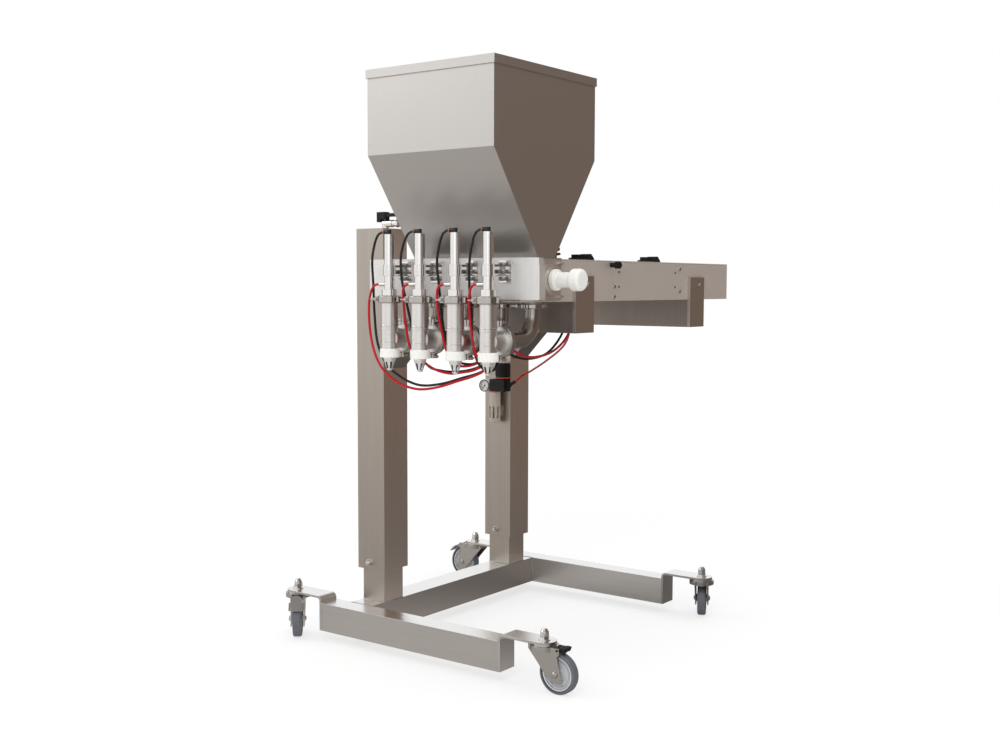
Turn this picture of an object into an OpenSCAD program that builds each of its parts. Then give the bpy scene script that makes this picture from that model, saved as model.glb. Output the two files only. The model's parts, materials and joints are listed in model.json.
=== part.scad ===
// Filling machine with four side-by-side pistons on a height-adjustable wheeled stand.
// Millimetres, +Z up, +X along the nozzle row, +Y from the nozzles to the back.
// The construction frame has X = 0 at the middle of the hopper, Y = 0 at the valve axis
// and Z = 0 at the floor; placed() shifts it so the origin is under the middle of the outline.

/* [Base] */
// Length of each leg tube
leg_len = 600; // [560:5:680]
// Width of the leg tube
leg_w = 60; // [50:1:70]
// Height of the leg and crossbar tubes
leg_h = 76; // [66:1:90]
// Wall of the base tubes
tube_wall = 3; // [2:0.5:5]
// Height of the legs above the floor
leg_clear = 30; // [24:1:50]
// Width over both legs
base_w = 868; // [840:4:960]
// Width of the crossbar
crossbar_w = 76; // [76:1:90]
// Distance from the leg ends behind the columns to the crossbar
crossbar_inset = 58; // [50:1:70]

/* [Columns] */
// Width of the fixed column tubes
column_w = 76; // [70:1:76]
// Wall of the column tubes
column_wall = 4; // [3:0.5:6]
// Distance between the two columns, middle to middle
column_pitch = 576; // [560:2:600]
// Height of the fixed column tubes' tops above the floor
column_top = 1030; // [1000:5:1030]
// Width of the sliding sleeves
sleeve_w = 96; // [94:1:104]
// Wall of the sliding sleeves
sleeve_wall = 3; // [2:0.5:4]
// Height of the sleeves' lower ends above the floor
sleeve_bottom = 194; // [190:1:220]
// Height of the sleeves' tops above the floor
sleeve_top = 1120; // [1060:5:1180]
// Travel of the head upwards from the height it stands at
head_up = 220; // [180:5:220]
// Length of one glide liner
glide_len = 60; // [40:5:80]
// Gap between a glide liner and its column
glide_gap = 0.3; // [0.2:0.05:0.5]
// Distance from the columns' middle to the hopper's middle
column_reach = 462; // [455:1:480]

/* [Arms] */
// Height of the arms' tops, which carry the housing
arm_top = 931; // [925:1:960]
// Height of the arm tubes
arm_h = 76; // [70:1:80]
// Width of the arm tubes
arm_w = 76; // [70:1:80]
// Thickness of the upright plates on the arm ends
end_plate_t = 8; // [6:0.5:10]
// Width of the upright plates
end_plate_w = 82; // [80:1:90]
// Height of an upright plate above the arm's top
end_plate_rise = 61; // [55:1:70]
// Length of a gusset along the arm
gusset_run = 105; // [90:1:120]
// Drop of a gusset down the column
gusset_drop = 110; // [90:1:125]
// Thickness of the gusset sheets
gusset_t = 4; // [3:0.5:6]

/* [Casters] */
// Radius of the caster wheels
wheel_r = 50; // [47:0.5:51]
// Width of the caster tyres
wheel_w = 24; // [22:1:28]
// Radius of the wheel hubs
hub_r = 41.5; // [38:0.5:42]
// Distance from the swivel axis to the wheel's axle
caster_trail = 42; // [40:0.5:46]
// Radius of the swivel heads
caster_head_r = 35; // [32:0.5:37]
// Thickness of the fork cheeks
cheek_t = 3; // [2.5:0.5:4]
// Radius of the stem bolts
stem_r = 6; // [5:0.5:7]
// Radius of the axle bolts
axle_r = 4; // [3.5:0.5:5]
// Thickness of the caster brackets
bracket_t = 6; // [5:0.5:8]
// Rise of the bracket's flat over the leg's top
bracket_rise = 18; // [16:1:22]
// Distance from the leg's end to the swivel axis
stem_out = 117; // [110:1:125]

/* [Housing] */
// Length of the drive housing behind its step
housing_len = 864; // [840:4:900]
// Height of the drive housing
housing_h = 100; // [97:1:110]
// Thickness of the housing sheet
sheet_t = 3; // [2:0.5:4]
// Distance from the valve axis to the step in the housing sides
step_y = 62; // [56:1:70]
// Height of the low side walls beside the valve
low_wall_h = 31; // [25:1:45]
// Length of a lid latch
latch_len = 76; // [70:1:110]

/* [Valve and pistons] */
// Length of the hopper, the valve block and the housing across the pistons
body_w = 368; // [360:2:376]
// Height and depth of the valve block
valve_s = 96; // [92:1:97]
// Radius of the bore for the rotary spool
spool_bore_r = 30; // [28:0.5:31]
// Radial running gap of the spool and the pistons
run_gap = 0.05; // [0.02:0.01:0.1]
// Radius of the ports in the valve block
port_r = 17; // [14:0.5:18]
// Distance from the middle to the two inner nozzles
nozzle_in = 52.5; // [50:0.5:54]
// Distance from the ends of the valve block to the middle of the outer nozzles
nozzle_edge = 38; // [34:1:42]
// Bore radius of the product cylinders
barrel_bore_r = 24; // [22:0.5:25]
// Outer radius of the product cylinders
barrel_r = 28; // [27:0.5:30]
// Length of the product cylinders
barrel_len = 190; // [180:2:200]
// Stroke of the product pistons
stroke = 150; // [100:5:150]
// Radius of the piston rods
rod_r = 7; // [5:0.5:8]
// Outer radius of the drive cylinder
drive_r = 34; // [32:0.5:36]
// Length of the white knob on the spool's end
knob_len = 30; // [24:1:36]
// Radius of the white knob on the spool's end
knob_r = 25.5; // [22:0.5:27]

/* [Hopper] */
// Depth of the hopper from front to back
hopper_d = 406; // [380:2:420]
// Height of the hopper's rim above the floor
hopper_top = 1467; // [1420:5:1500]
// Height where the hopper's slopes start
hopper_break = 1270; // [1240:5:1300]
// Depth of the hopper's outlet
outlet_d = 70; // [60:1:80]
// Thickness of the hopper sheet
hopper_t = 2.5; // [2:0.5:3]
// Height of the folded rim band
rim_h = 20; // [14:1:26]
// How far the rim band stands out
rim_t = 3; // [2:0.5:5]

/* [Rail] */
// Length of the rail plate in front of the valve
rail_len = 502; // [490:2:510]
// Thickness of the rail plate
rail_t = 24; // [20:1:26]
// Height of the rail plate
rail_h = 78; // [70:1:84]
// Height of the rail plate's lower edge
rail_bottom = 937; // [934:1:942]
// Distance from the valve axis to the rail plate's front face
rail_front = 125; // [120:1:130]
// Height of the bar on top of the rail plate
bar_h = 15.5; // [12:0.5:18]

/* [Nozzles] */
// Distance from the valve axis to the nozzle row
nozzle_y = 172; // [168:1:178]
// Radius of the nozzle bodies
nozzle_r = 20; // [19:0.5:21]
// Wall of the nozzle bodies
nozzle_wall = 2.5; // [2:0.25:3]
// Height of the nozzle bodies' lower ends
nozzle_bottom = 820; // [815:1:825]
// Height of the nozzle bodies' upper ends
nozzle_top = 936; // [930:1:940]
// Radius of the white collars
collar_r = 23; // [22:0.5:25]
// Height of the white collars
collar_h = 21; // [18:1:24]
// Length of the star tips
tip_len = 31; // [26:1:36]
// Radius of the star tips at the top
tip_r1 = 15; // [13:0.5:16]
// Radius of the star tips at the bottom
tip_r2 = 7; // [6:0.5:9]
// Radius of the air cylinders on the nozzles
air_r = 12; // [11.5:0.5:13]
// Height of the air cylinders' tops
air_top = 1088; // [1075:1:1095]

/* [Pipes] */
// Height of the horizontal pipes behind the nozzles
pipe_z = 844; // [843:0.5:846]
// Radius of the horizontal stub pipes
stub_r = 24; // [22:0.5:24]
// Distance from the valve axis to the large clamps
clamp_y = 124; // [120:1:128]
// Radius of the elbows
elbow_r = 19; // [18:0.5:20]
// Bend radius of the elbows
elbow_bend = 57; // [52:1:60]
// Radius of the large clamps
big_clamp_r = 37; // [36:0.5:39]
// Radius of the small clamps
small_clamp_r = 31; // [29:0.5:33]
// Radius of the air tubes
tube_r = 3; // [2.5:0.25:3.5]

/* [Air unit] */
// Radius of the regulator's knob
reg_knob_r = 22; // [18:0.5:24]
// Radius of the filter bowl
bowl_r = 18; // [16:0.5:19]
// Length of the filter bowl
bowl_len = 100; // [80:1:110]
// Radius of the pressure gauge
gauge_r = 19; // [17:0.5:21]
// Radius of the air inlet port
inlet_r = 5; // [4:0.5:6]

/* [Hidden] */
$fn = 64;
// Gap between pieces of different bodies that lie on each other
seat = 0.3;
// Small overlap that joins solids of one piece, and run-out of cuts
eps = 0.5;

// Base in the construction frame
head_y = 440.4;
half_base = base_w / 2;
leg_top = leg_clear + leg_h;
crossbar_x = -column_reach;
leg_left = crossbar_x - crossbar_w / 2 - crossbar_inset;
leg_right = leg_left + leg_len;
near_leg_y = head_y - half_base + leg_w / 2;
far_leg_y = head_y + half_base - leg_w / 2;
column_ys = [head_y - column_pitch / 2, head_y + column_pitch / 2];
stem_left = leg_left - stem_out;
stem_right = leg_right + stem_out;
bracket_top = leg_top + bracket_rise;
bracket_z = bracket_top - bracket_t;
glide_bore = column_w + 2 * glide_gap;
sleeve_bore = sleeve_w - 2 * sleeve_wall;

// Casters: swivel head under a bearing washer, cheeks down to the axle
race_t = 4;
head_top = bracket_z - race_t - seat;
head_t = 11;
head_z = head_top - head_t;
cheek_y = wheel_w / 2 + 4;
acorn_h = 26;
pedal_pin_x = caster_trail + 6;
pedal_pin_z = head_z + 6.5;
pedal_pin_r = 2.5;
pedal_w = 44;
pedal_tip = pedal_pin_x + 47;
pedal_arm_w = 2 * (cheek_y - 0.4);
swivels = [[stem_left, near_leg_y, -48], [stem_right, near_leg_y, 0],
    [stem_left, far_leg_y, 180], [stem_right, far_leg_y, 115]];
tyre_edge = 5;

// Housing, valve and hopper
half_body = body_w / 2;
arm_z = arm_top - arm_h;
sleeve_face = -column_reach + sleeve_w / 2;
housing_back = step_y + housing_len;
housing_top = arm_top + housing_h;
lid_t = sheet_t;
valve_z0 = arm_top + sheet_t;
valve_z = valve_z0 + valve_s / 2;
valve_top = valve_z0 + valve_s;
spool_r = spool_bore_r - run_gap;
nozzle_out = half_body - nozzle_edge;
nozzle_xs = [-nozzle_out, -nozzle_in, nozzle_in, nozzle_out];
low_front = -rail_front + rail_t;
flange_t = 8;
gland_t = 12;
gland_r = 36;
gland_bore = 20;
spool_neck_r = 17.5;
disc_r = 24.5;
disc_x = half_body + flange_t + gland_t + seat;
disc_t = 13;
knob_x = disc_x + 50;
spool_end = knob_x + knob_len;
pin_y = 283;
pin_z = housing_top - 11;
pin_r = 3;
front_screws = 298;
rear_screws = 638;
screw_inset = 24;
hopper_z = valve_top + seat;
hopper_base_t = 3;
latch_x = half_body - 16;
near_latch_y = step_y + 93;
far_latch_y = near_latch_y + 330;
latch_y = step_y - 7;

// Pistons and crosshead
barrel_y = valve_s / 2;
piston_len = 24;
piston_y = barrel_y + 6;
cross_y = barrel_y + barrel_len + stroke + 22;
cross_t = 20;
cross_h = 76;
cross_z = valve_z0 + seat;
drive_y = cross_y + cross_t + stroke + 12;
drive_len = 280;
drive_bore_r = drive_r - 4;
drive_rod_r = 10;

// Rail and nozzles
rail_back = -rail_front + rail_t;
rail_top = rail_bottom + rail_h;
ferrule_r = 25.2;
ferrule_h = 4;
// Play between a clamp and the ferrules it holds
clamp_play = 0.3;
nozzle_clamp_r = 27;
nozzle_clamp_h = 20;
air_cap_z = nozzle_top + nozzle_clamp_h + 3;
air_bore_r = air_r - 2;
plunger_rod_r = 4;
plug_r = 12;
hanger_z = 990;
hanger_h = 26;
low_port_z = 971;
low_port_x = 32;
top_port_x = 18;
fitting_r = 5;
top_port_z = air_top + fitting_r + seat;

// Pipes
small_ferrule_r = 25.2;
big_ferrule_r = 32;
big_ferrule_t = 6;
elbow_top_z = pipe_z + elbow_bend + 16;
port_end_z = elbow_top_z + 2 * ferrule_h;
manifold_x = [nozzle_in + elbow_r + 5.5, nozzle_out - elbow_r - 5];
manifold_y = [-112, -88];
manifold_z = [824, 850];
manifold_port_z = 812;
manifold_pitch = (manifold_x[1] - manifold_x[0] - 12) / 3;
manifold_ports = [for (k = [0:3]) manifold_x[0] + 5 + k * manifold_pitch];
bulkhead_z = arm_top - 16;
red_bulkhead = [101, 250];
black_bulkhead = [82, 250];
supply_bulkhead = [64, 282];

// Air unit on the far sleeve
far_face_y = head_y + column_pitch / 2 - sleeve_w / 2;
reg_x = -437;
reg_w = 54;
reg_d = 34;
reg_h = 36;
reg_z = 647;
reg_y = far_face_y - 6 - reg_d / 2;
bowl_x = -456;
knob_cx = -427;
reg_knob_len = 46;
gauge_x = -488;
gauge_z = reg_z + 15;
gauge_t = 14;
gauge_front = reg_y - 12;
reg_port = [reg_x + reg_w / 2, reg_y, reg_z + 20];
reg_port_len = 24;
reg_port_tilt = 60;
inlet_x = reg_x + reg_w / 2 - 8;
inlet_len = 14;

// Shutoff valve on the near sleeve
lever_x = -448;
lever_y = head_y - column_pitch / 2;

// Outline of the whole machine without its air tubes, which sets the origin
outline_x = [stem_left - pedal_tip, spool_end];
far_turn = swivels[3][2];
outline_y = [-hopper_d / 2 - rim_t,
    far_leg_y + pedal_tip * sin(far_turn) + pedal_arm_w / 2 * abs(cos(far_turn))];
plan_x = (outline_x[0] + outline_x[1]) / 2;
plan_y = (outline_y[0] + outline_y[1]) / 2;

// Routes of the air tubes, from a fitting to the tube manifold or the housing
red_routes = [
    [[-178.3, -172, 971], [-181, -172, 971], [-184, -172, 971], [-195, -172, 967], [-205, -172, 952],
        [-212, -171, 925], [-214, -169, 890], [-212, -166, 850], [-203, -163, 810], [-183, -160, 773],
        [-147, -155, 743], [-108, -150, 729], [-70, -144, 725], [-23, -135, 733], [23, -125, 748],
        [60, -116, 760], [88, -109, 775], [104, -106, 801], [104, -106, 806], [104, -106, 811.7]],
    [[-84.8, -172, 971], [-87, -172, 971], [-90, -172, 971], [-100, -172, 966], [-105, -171, 952],
        [-106, -167, 925], [-108, -158, 876], [-106, -147, 827], [-92, -138, 800], [-69, -130, 784],
        [-40, -125, 770], [-5, -121, 764], [30, -120, 768], [60, -114, 774], [82, -108, 786],
        [93, -106, 803], [93, -106, 807], [93, -106, 811.7]],
    [[20.2, -172, 971], [18, -172, 971], [15, -172, 971], [6, -172, 967], [-2, -170, 955],
        [-6, -165, 920], [-3, -155, 870], [5, -146, 820], [20, -135, 788], [45, -124, 783],
        [68, -112, 790], [82, -106, 803], [82, -106, 807], [82, -106, 811.7]],
    [[113.7, -172, 971], [111, -172, 971], [108.5, -172, 971], [100, -172, 967], [92, -170, 953],
        [87, -165, 915], [85, -155, 870], [88, -146, 820], [99, -129, 790], [112, -113, 788],
        [115, -106, 801], [115, -106, 806], [115, -106, 811.7]],
    [[111, -87.7, 836], [111, -85, 836], [111, -81, 836], [113, -70, 834], [118, -45, 822],
        [121, -10, 806], [116, 45, 799], [108, 110, 802], [103, 160, 813], [101, 205, 836],
        [101, 238, 872], [101, 250, 903], [101, 250, 909], [101, 250, 914.7]],
    [[-378.5, 657, 679], [-366, 654, 686], [-322, 618, 703], [-256, 560, 720], [-148, 480, 757],
        [-32, 380, 798], [30, 320, 828], [58, 290, 862], [64, 282, 901], [64, 282, 908],
        [64, 282, 914.7]]];
black_routes = [
    [[-164.3, -172, 1093], [-167, -172, 1093], [-170, -172, 1093], [-183, -172, 1085],
        [-195, -171, 1060], [-204, -168, 1025], [-207, -161, 968], [-211, -153, 900],
        [-206, -148, 830], [-181, -144, 780], [-146, -140, 754], [-108, -136, 738], [-72, -131, 733],
        [-23, -122, 740], [23, -112, 754], [60, -103, 765], [88, -97, 779], [104, -94, 801],
        [104, -94, 806], [104, -94, 811.7]],
    [[-70.8, -172, 1093], [-73.5, -172, 1093], [-76.5, -172, 1093], [-89, -172, 1086],
        [-103, -171, 1064], [-113, -169, 1030], [-114, -164, 980], [-108, -152, 920],
        [-100, -142, 862], [-92, -132, 812], [-69, -119, 777], [-40, -112, 769], [-5, -108, 767],
        [30, -106, 771], [60, -101, 779], [82, -96, 791], [93, -94, 803], [93, -94, 807],
        [93, -94, 811.7]],
    [[34.2, -172, 1093], [31.5, -172, 1093], [28.5, -172, 1093], [16, -172, 1085], [4, -170, 1060],
        [-6, -166, 1020], [-8, -156, 965], [-9, -146, 905], [-4, -136, 845], [14, -122, 797],
        [45, -110, 787], [68, -101, 794], [82, -94, 803], [82, -94, 807], [82, -94, 811.7]],
    [[127.7, -172, 1093], [125, -172, 1093], [122, -172, 1093], [110, -172, 1085], [99, -170, 1062],
        [89, -167, 1020], [82, -158, 965], [81, -150, 905], [81, -145, 845], [86, -136, 800],
        [97, -118, 775], [111, -103, 777], [115, -94, 801], [115, -94, 806], [115, -94, 811.7]],
    [[88, -87.7, 836], [88, -85, 836], [88, -81, 836], [90, -70, 834], [95, -45, 820], [99, -10, 803],
        [97, 45, 794], [92, 110, 797], [87, 160, 810], [84, 205, 838], [82, 238, 874], [82, 250, 903],
        [82, 250, 909], [82, 250, 914.7]]];

// Shapes shared by several pieces

module placed() {
    translate([-plan_x, -plan_y, 0]) children();
}

module block(x, y, z) {
    translate([x[0], y[0], z[0]]) cube([x[1] - x[0], y[1] - y[0], z[1] - z[0]]);
}

// Bar centred on x and y, standing on z
module post(c, s, h) {
    translate([c[0] - s[0] / 2, c[1] - s[1] / 2, c[2]]) cube([s[0], s[1], h]);
}

module rod_z(c, r, h) {
    translate(c) cylinder(r = r, h = h);
}

module rod_y(c, r, h) {
    translate(c) rotate([-90, 0, 0]) cylinder(r = r, h = h);
}

module rod_x(c, r, h) {
    translate(c) rotate([0, 90, 0]) cylinder(r = r, h = h);
}

module pipe_z_way(c, r, bore, h) {
    difference() {
        rod_z(c, r, h);
        rod_z([c[0], c[1], c[2] - eps], bore, h + 2 * eps);
    }
}

// Round bar along Z with rounded lower and upper edges
module soft_rod(r, h, e) {
    rotate_extrude() polygon(concat([[0, 0]],
        [for (a = [-90:15:0]) [r - e + e * cos(a), e + e * sin(a)]],
        [for (a = [0:15:90]) [r - e + e * cos(a), h - e + e * sin(a)]], [[0, h]]));
}

// Bolt head: six sides and a low dome
module acorn(r, h) {
    cylinder(r = r, h = h * 0.45, $fn = 6);
    translate([0, 0, h * 0.45]) cylinder(r = r * 0.85, h = h * 0.25);
    translate([0, 0, h * 0.7]) cylinder(r1 = r * 0.85, r2 = r * 0.45, h = h * 0.3);
}

module button_head(r, h) {
    rotate_extrude() polygon([[0, 0], [r, 0], [r * 0.92, h * 0.55], [r * 0.6, h], [0, h]]);
}

module hollow_tube_x(x, y, z, wall) {
    difference() {
        block(x, y, z);
        block([x[0] - eps, x[1] + eps], [y[0] + wall, y[1] - wall], [z[0] + wall, z[1] - wall]);
    }
}

// Swept tubes

function unit(v) = v / norm(v);
function bent(p, i, t) = let (a = p[max(i - 1, 0)], b = p[i], c = p[i + 1], d = p[min(i + 2, len(p) - 1)])
    0.5 * ((2 * b) + (c - a) * t + (2 * a - 5 * b + 4 * c - d) * t * t + (3 * b - a - 3 * c + d) * t * t * t);
function line_points(p, n) = concat([for (i = [0:len(p) - 2]) for (k = [0:n - 1]) bent(p, i, k / n)],
    [p[len(p) - 1]]);
function heading(p, i) = unit(p[min(i + 1, len(p) - 1)] - p[max(i - 1, 0)]);
function across(v, t) = unit(v - (v * t) * t);
function carried(p, i) = i == 0 ? [across([0.3, 1, 0.2], heading(p, 0))]
    : let (before = carried(p, i - 1)) concat(before, [across(before[i - 1], heading(p, i))]);

module swept(route, r, sides = 8) {
    p = line_points(route, 2);
    n = carried(p, len(p) - 1);
    rings = [for (i = [0:len(p) - 1]) let (t = heading(p, i), u = n[i], v = cross(t, u))
        for (k = [0:sides - 1]) p[i] + r * (cos(k * 360 / sides) * u + sin(k * 360 / sides) * v)];
    last = (len(p) - 1) * sides;
    skin = [for (i = [0:len(p) - 2]) for (k = [0:sides - 1]) let (a = i * sides + k,
        b = i * sides + (k + 1) % sides) each [[a, a + sides, b], [b, a + sides, b + sides]]];
    ends = [for (k = [1:sides - 2]) each [[0, k, k + 1], [last, last + k + 1, last + k]]];
    polyhedron(points = rings, faces = concat(skin, ends), convexity = 6);
}

// Base

module leg(y) {
    color([0.72, 0.70, 0.67]) placed() hollow_tube_x([leg_left, leg_right],
        [y - leg_w / 2, y + leg_w / 2], [leg_clear, leg_top], tube_wall);
}

module near_leg() {
    leg(near_leg_y);
}

module far_leg() {
    leg(far_leg_y);
}

module crossbar() {
    y0 = near_leg_y + leg_w / 2;
    y1 = far_leg_y - leg_w / 2;
    color([0.68, 0.66, 0.63]) placed() difference() {
        block([crossbar_x - crossbar_w / 2, crossbar_x + crossbar_w / 2], [y0, y1], [leg_clear, leg_top]);
        block([crossbar_x - crossbar_w / 2 + tube_wall, crossbar_x + crossbar_w / 2 - tube_wall],
            [y0 - eps, y1 + eps], [leg_clear + tube_wall, leg_top - tube_wall]);
    }
}

module column_tubes() {
    color([0.68, 0.66, 0.63]) placed() for (y = column_ys) difference() {
        post([crossbar_x, y, leg_top], [column_w, column_w], column_top - leg_top);
        post([crossbar_x, y, leg_top - eps], [column_w - 2 * column_wall, column_w - 2 * column_wall],
            column_top - leg_top + 2 * eps);
    }
}

// Bent plate: upright on the leg's end, quarter bend, then flat out to the round end.
// Drawn for a leg end at x = 0 that points along +X.
module bracket() {
    bend = 14;
    flat_x = bend;
    bend_z = bracket_top - bend;
    block([0, bracket_t], [-leg_w / 2, leg_w / 2], [leg_clear, bend_z]);
    translate([bend, leg_w / 2, bend_z]) rotate([90, 0, 0]) linear_extrude(height = leg_w)
        intersection() {
            difference() {
                circle(r = bend);
                circle(r = bend - bracket_t);
            }
            translate([-bend, 0]) square([bend, bend]);
        }
    difference() {
        union() {
            block([flat_x, stem_out], [-leg_w / 2, leg_w / 2], [bracket_z, bracket_top]);
            rod_z([stem_out, 0, bracket_z], leg_w / 2, bracket_t);
        }
        rod_z([stem_out, 0, bracket_z - eps], stem_r + run_gap, bracket_t + 2 * eps);
    }
}

module caster_brackets() {
    color([0.74, 0.73, 0.70]) placed() for (y = [near_leg_y, far_leg_y]) {
        translate([leg_right, y, 0]) bracket();
        translate([leg_left, y, 0]) mirror([1, 0, 0]) bracket();
    }
}

// Bearing washer, bolt and acorn nut that hold a swivel head under its bracket
module caster_stems() {
    color([0.80, 0.80, 0.80]) placed() for (s = swivels) translate([s[0], s[1], 0]) {
        rod_z([0, 0, bracket_z - race_t], 30, race_t);
        rod_z([0, 0, head_z - 2], stem_r, bracket_top - head_z + 2 + acorn_h / 2);
        rod_z([0, 0, head_z - 8], 9.5, 6);
        rod_z([0, 0, bracket_top], 14, 2);
        translate([0, 0, bracket_top + 2]) acorn(12, acorn_h);
    }
}

// Casters, drawn with the swivel axis at x = y = 0 and the wheel trailing along +X

module cheek(side) {
    translate([0, side * (cheek_y + cheek_t / 2) + cheek_t / 2, 0]) rotate([90, 0, 0])
        linear_extrude(height = cheek_t) difference() {
            polygon([[-caster_head_r, head_z], [-9, 74], [5, 57], [caster_trail - 14, 33],
                [caster_trail - 8, 30], [caster_trail + 16, 30], [caster_trail + 20, 35],
                [caster_trail + 5, head_z - 10], [pedal_pin_x + 5.5, head_z - 3],
                [pedal_pin_x + 5.5, head_top], [-caster_head_r, head_top]]);
            translate([caster_trail, wheel_r]) circle(r = axle_r);
            translate([pedal_pin_x, pedal_pin_z]) circle(r = pedal_pin_r + run_gap);
        }
}

module fork_shape() {
    inner = cheek_y - eps;
    difference() {
        union() {
            rod_z([0, 0, head_z], caster_head_r, head_t);
            cheek(1);
            cheek(-1);
        }
        rod_z([0, 0, head_z - eps], stem_r + run_gap, head_t + 2 * eps);
    }
    rod_y([caster_trail, -cheek_y - cheek_t - 5, wheel_r], axle_r, 2 * (cheek_y + cheek_t + 5));
    for (m = [0, 1]) mirror([0, m, 0])
        translate([caster_trail, -cheek_y - cheek_t, wheel_r]) rotate([90, 0, 0]) button_head(8, 4.5);
}

module hub_shape() {
    difference() {
        union() {
            rod_y([caster_trail, -wheel_w / 2 + 3, wheel_r], hub_r, wheel_w - 6);
            rod_y([caster_trail, -cheek_y + 0.6, wheel_r], 11, 2 * cheek_y - 1.2);
        }
        rod_y([caster_trail, -cheek_y - eps, wheel_r], axle_r + run_gap, 2 * cheek_y + 2 * eps);
        for (m = [0, 1]) mirror([0, m, 0]) difference() {
            rod_y([caster_trail, -wheel_w / 2, wheel_r], hub_r - 6, 6.5);
            rod_y([caster_trail, -wheel_w / 2 - eps, wheel_r], 15, 8);
        }
    }
}

module tyre_shape() {
    e = tyre_edge;
    h = wheel_w / 2;
    translate([caster_trail, 0, wheel_r]) rotate([90, 0, 0]) rotate_extrude()
        polygon(concat([[hub_r + 0.05, -h + 2], [hub_r + 0.05, h - 2], [hub_r + 2, h]],
            [for (a = [90:-15:0]) [wheel_r - e + e * cos(a), h - e + e * sin(a)]],
            [for (a = [0:-15:-90]) [wheel_r - e + e * cos(a), -h + e + e * sin(a)]],
            [[hub_r + 2, -h]]));
}

// Foot pedal on a pin between the cheeks; it clears the tyre at rest. The short one is a raised tab.
module brake_shape(short) {
    t = 3;
    root = [[pedal_pin_x - 2, pedal_pin_z + 3.6], [pedal_pin_x + 2, pedal_pin_z - 4]];
    tab = [[pedal_pin_x + 16, pedal_pin_z - 4], [pedal_pin_x + 20, pedal_pin_z + 6.5],
        [pedal_pin_x + 8, pedal_pin_z + 6.5]];
    pedal = [[pedal_pin_x + 30, pedal_pin_z - 16], [pedal_pin_x + 44, pedal_pin_z - 28],
        [pedal_tip, pedal_pin_z - 26], [pedal_pin_x + 33, pedal_pin_z - 12]];
    translate([0, pedal_arm_w / 2, 0]) rotate([90, 0, 0]) linear_extrude(height = pedal_arm_w)
        polygon(concat(root, short ? tab : pedal));
    rod_y([pedal_pin_x, -cheek_y - cheek_t - 2, pedal_pin_z], pedal_pin_r, 2 * (cheek_y + cheek_t + 2));
    if (!short) translate([pedal_pin_x + 20, -pedal_w / 2, pedal_pin_z - 10.5]) rotate([0, 40, 0])
        cube([26, pedal_w, t]);
}

module on_swivel(k) {
    s = swivels[k];
    placed() translate([s[0], s[1], 0]) rotate([0, 0, s[2]]) children();
}

module fork(k) {
    color([0.62, 0.60, 0.57]) on_swivel(k) fork_shape();
}

module wheel(k) {
    color([0.80, 0.82, 0.84]) on_swivel(k) hub_shape();
    color([0.30, 0.31, 0.34]) on_swivel(k) tyre_shape();
}

module brake(k) {
    color([0.86, 0.86, 0.85]) on_swivel(k) brake_shape(k == 1);
}

// Head: sleeves, glides and arms

module column_sleeves() {
    color([0.64, 0.61, 0.57]) placed() for (y = column_ys) difference() {
        post([crossbar_x, y, sleeve_bottom], [sleeve_w, sleeve_w], sleeve_top - sleeve_bottom);
        post([crossbar_x, y, sleeve_bottom - eps], [sleeve_bore, sleeve_bore],
            sleeve_top - sleeve_wall - sleeve_bottom + eps);
    }
}

module sleeve_glides() {
    upper = column_top - head_up - glide_len - 10;
    color([0.92, 0.92, 0.90]) placed() for (y = column_ys) for (z = [sleeve_bottom + 2, upper])
        difference() {
            post([crossbar_x, y, z], [sleeve_bore, sleeve_bore], glide_len);
            post([crossbar_x, y, z - eps], [glide_bore, glide_bore], glide_len + 2 * eps);
        }
}

module gusset_outline(grow) {
    polygon([[sleeve_face, arm_z], [sleeve_face + gusset_run - grow, arm_z],
        [sleeve_face, arm_z - gusset_drop + grow]]);
}

// Arm tube with its upright end plate and the folded gusset under its root
module support_arms() {
    color([0.46, 0.44, 0.41]) placed() for (y = column_ys) {
        hollow_tube_x([sleeve_face, half_body], [y - arm_w / 2, y + arm_w / 2], [arm_z, arm_top], tube_wall);
        block([half_body, half_body + end_plate_t], [y - end_plate_w / 2, y + end_plate_w / 2],
            [arm_z, arm_top + end_plate_rise]);
        translate([0, y + arm_w / 2, 0]) rotate([90, 0, 0]) difference() {
            linear_extrude(height = arm_w) gusset_outline(0);
            translate([0, 0, gusset_t]) linear_extrude(height = arm_w - 2 * gusset_t)
                gusset_outline(1.6 * gusset_t);
        }
    }
}

// Housing

module housing_side(x) {
    translate([x, 0, 0]) rotate([90, 0, 90]) linear_extrude(height = sheet_t)
        polygon([[low_front, arm_top], [housing_back - sheet_t, arm_top],
            [housing_back - sheet_t, housing_top - lid_t - seat], [step_y, housing_top - lid_t - seat],
            [step_y, arm_top + low_wall_h], [low_front, arm_top + low_wall_h]]);
}

module housing_tray() {
    color([0.66, 0.62, 0.58]) placed() {
        difference() {
            union() {
                housing_side(-half_body);
                housing_side(half_body - sheet_t);
                block([-half_body + sheet_t, half_body - sheet_t], [low_front, housing_back - sheet_t],
                    [arm_top, arm_top + sheet_t]);
            }
            for (x = nozzle_xs) rod_z([x, 0, arm_top - eps], port_r + 5, sheet_t + 2 * eps);
            rod_x([half_body - sheet_t - eps, pin_y, pin_z], pin_r + run_gap, sheet_t + 2 * eps);
            for (b = [red_bulkhead, black_bulkhead, supply_bulkhead])
                rod_z([b[0], b[1], arm_top - eps], 6.5, sheet_t + 2 * eps);
        }
        block([-half_body, half_body], [housing_back - sheet_t, housing_back],
            [arm_top, housing_top - lid_t - seat]);
    }
}

// Flat cover with a folded lip inside each long side
module housing_lid() {
    lip = 4.5;
    inside = half_body - sheet_t - seat;
    color([0.70, 0.66, 0.62]) placed() {
        block([-half_body, half_body], [step_y, housing_back], [housing_top - lid_t, housing_top]);
        for (m = [0, 1]) mirror([m, 0, 0])
            block([inside - 2, inside], [step_y + 20, housing_back - 20],
                [housing_top - lid_t - lip, housing_top - lid_t + eps]);
    }
}

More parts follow.
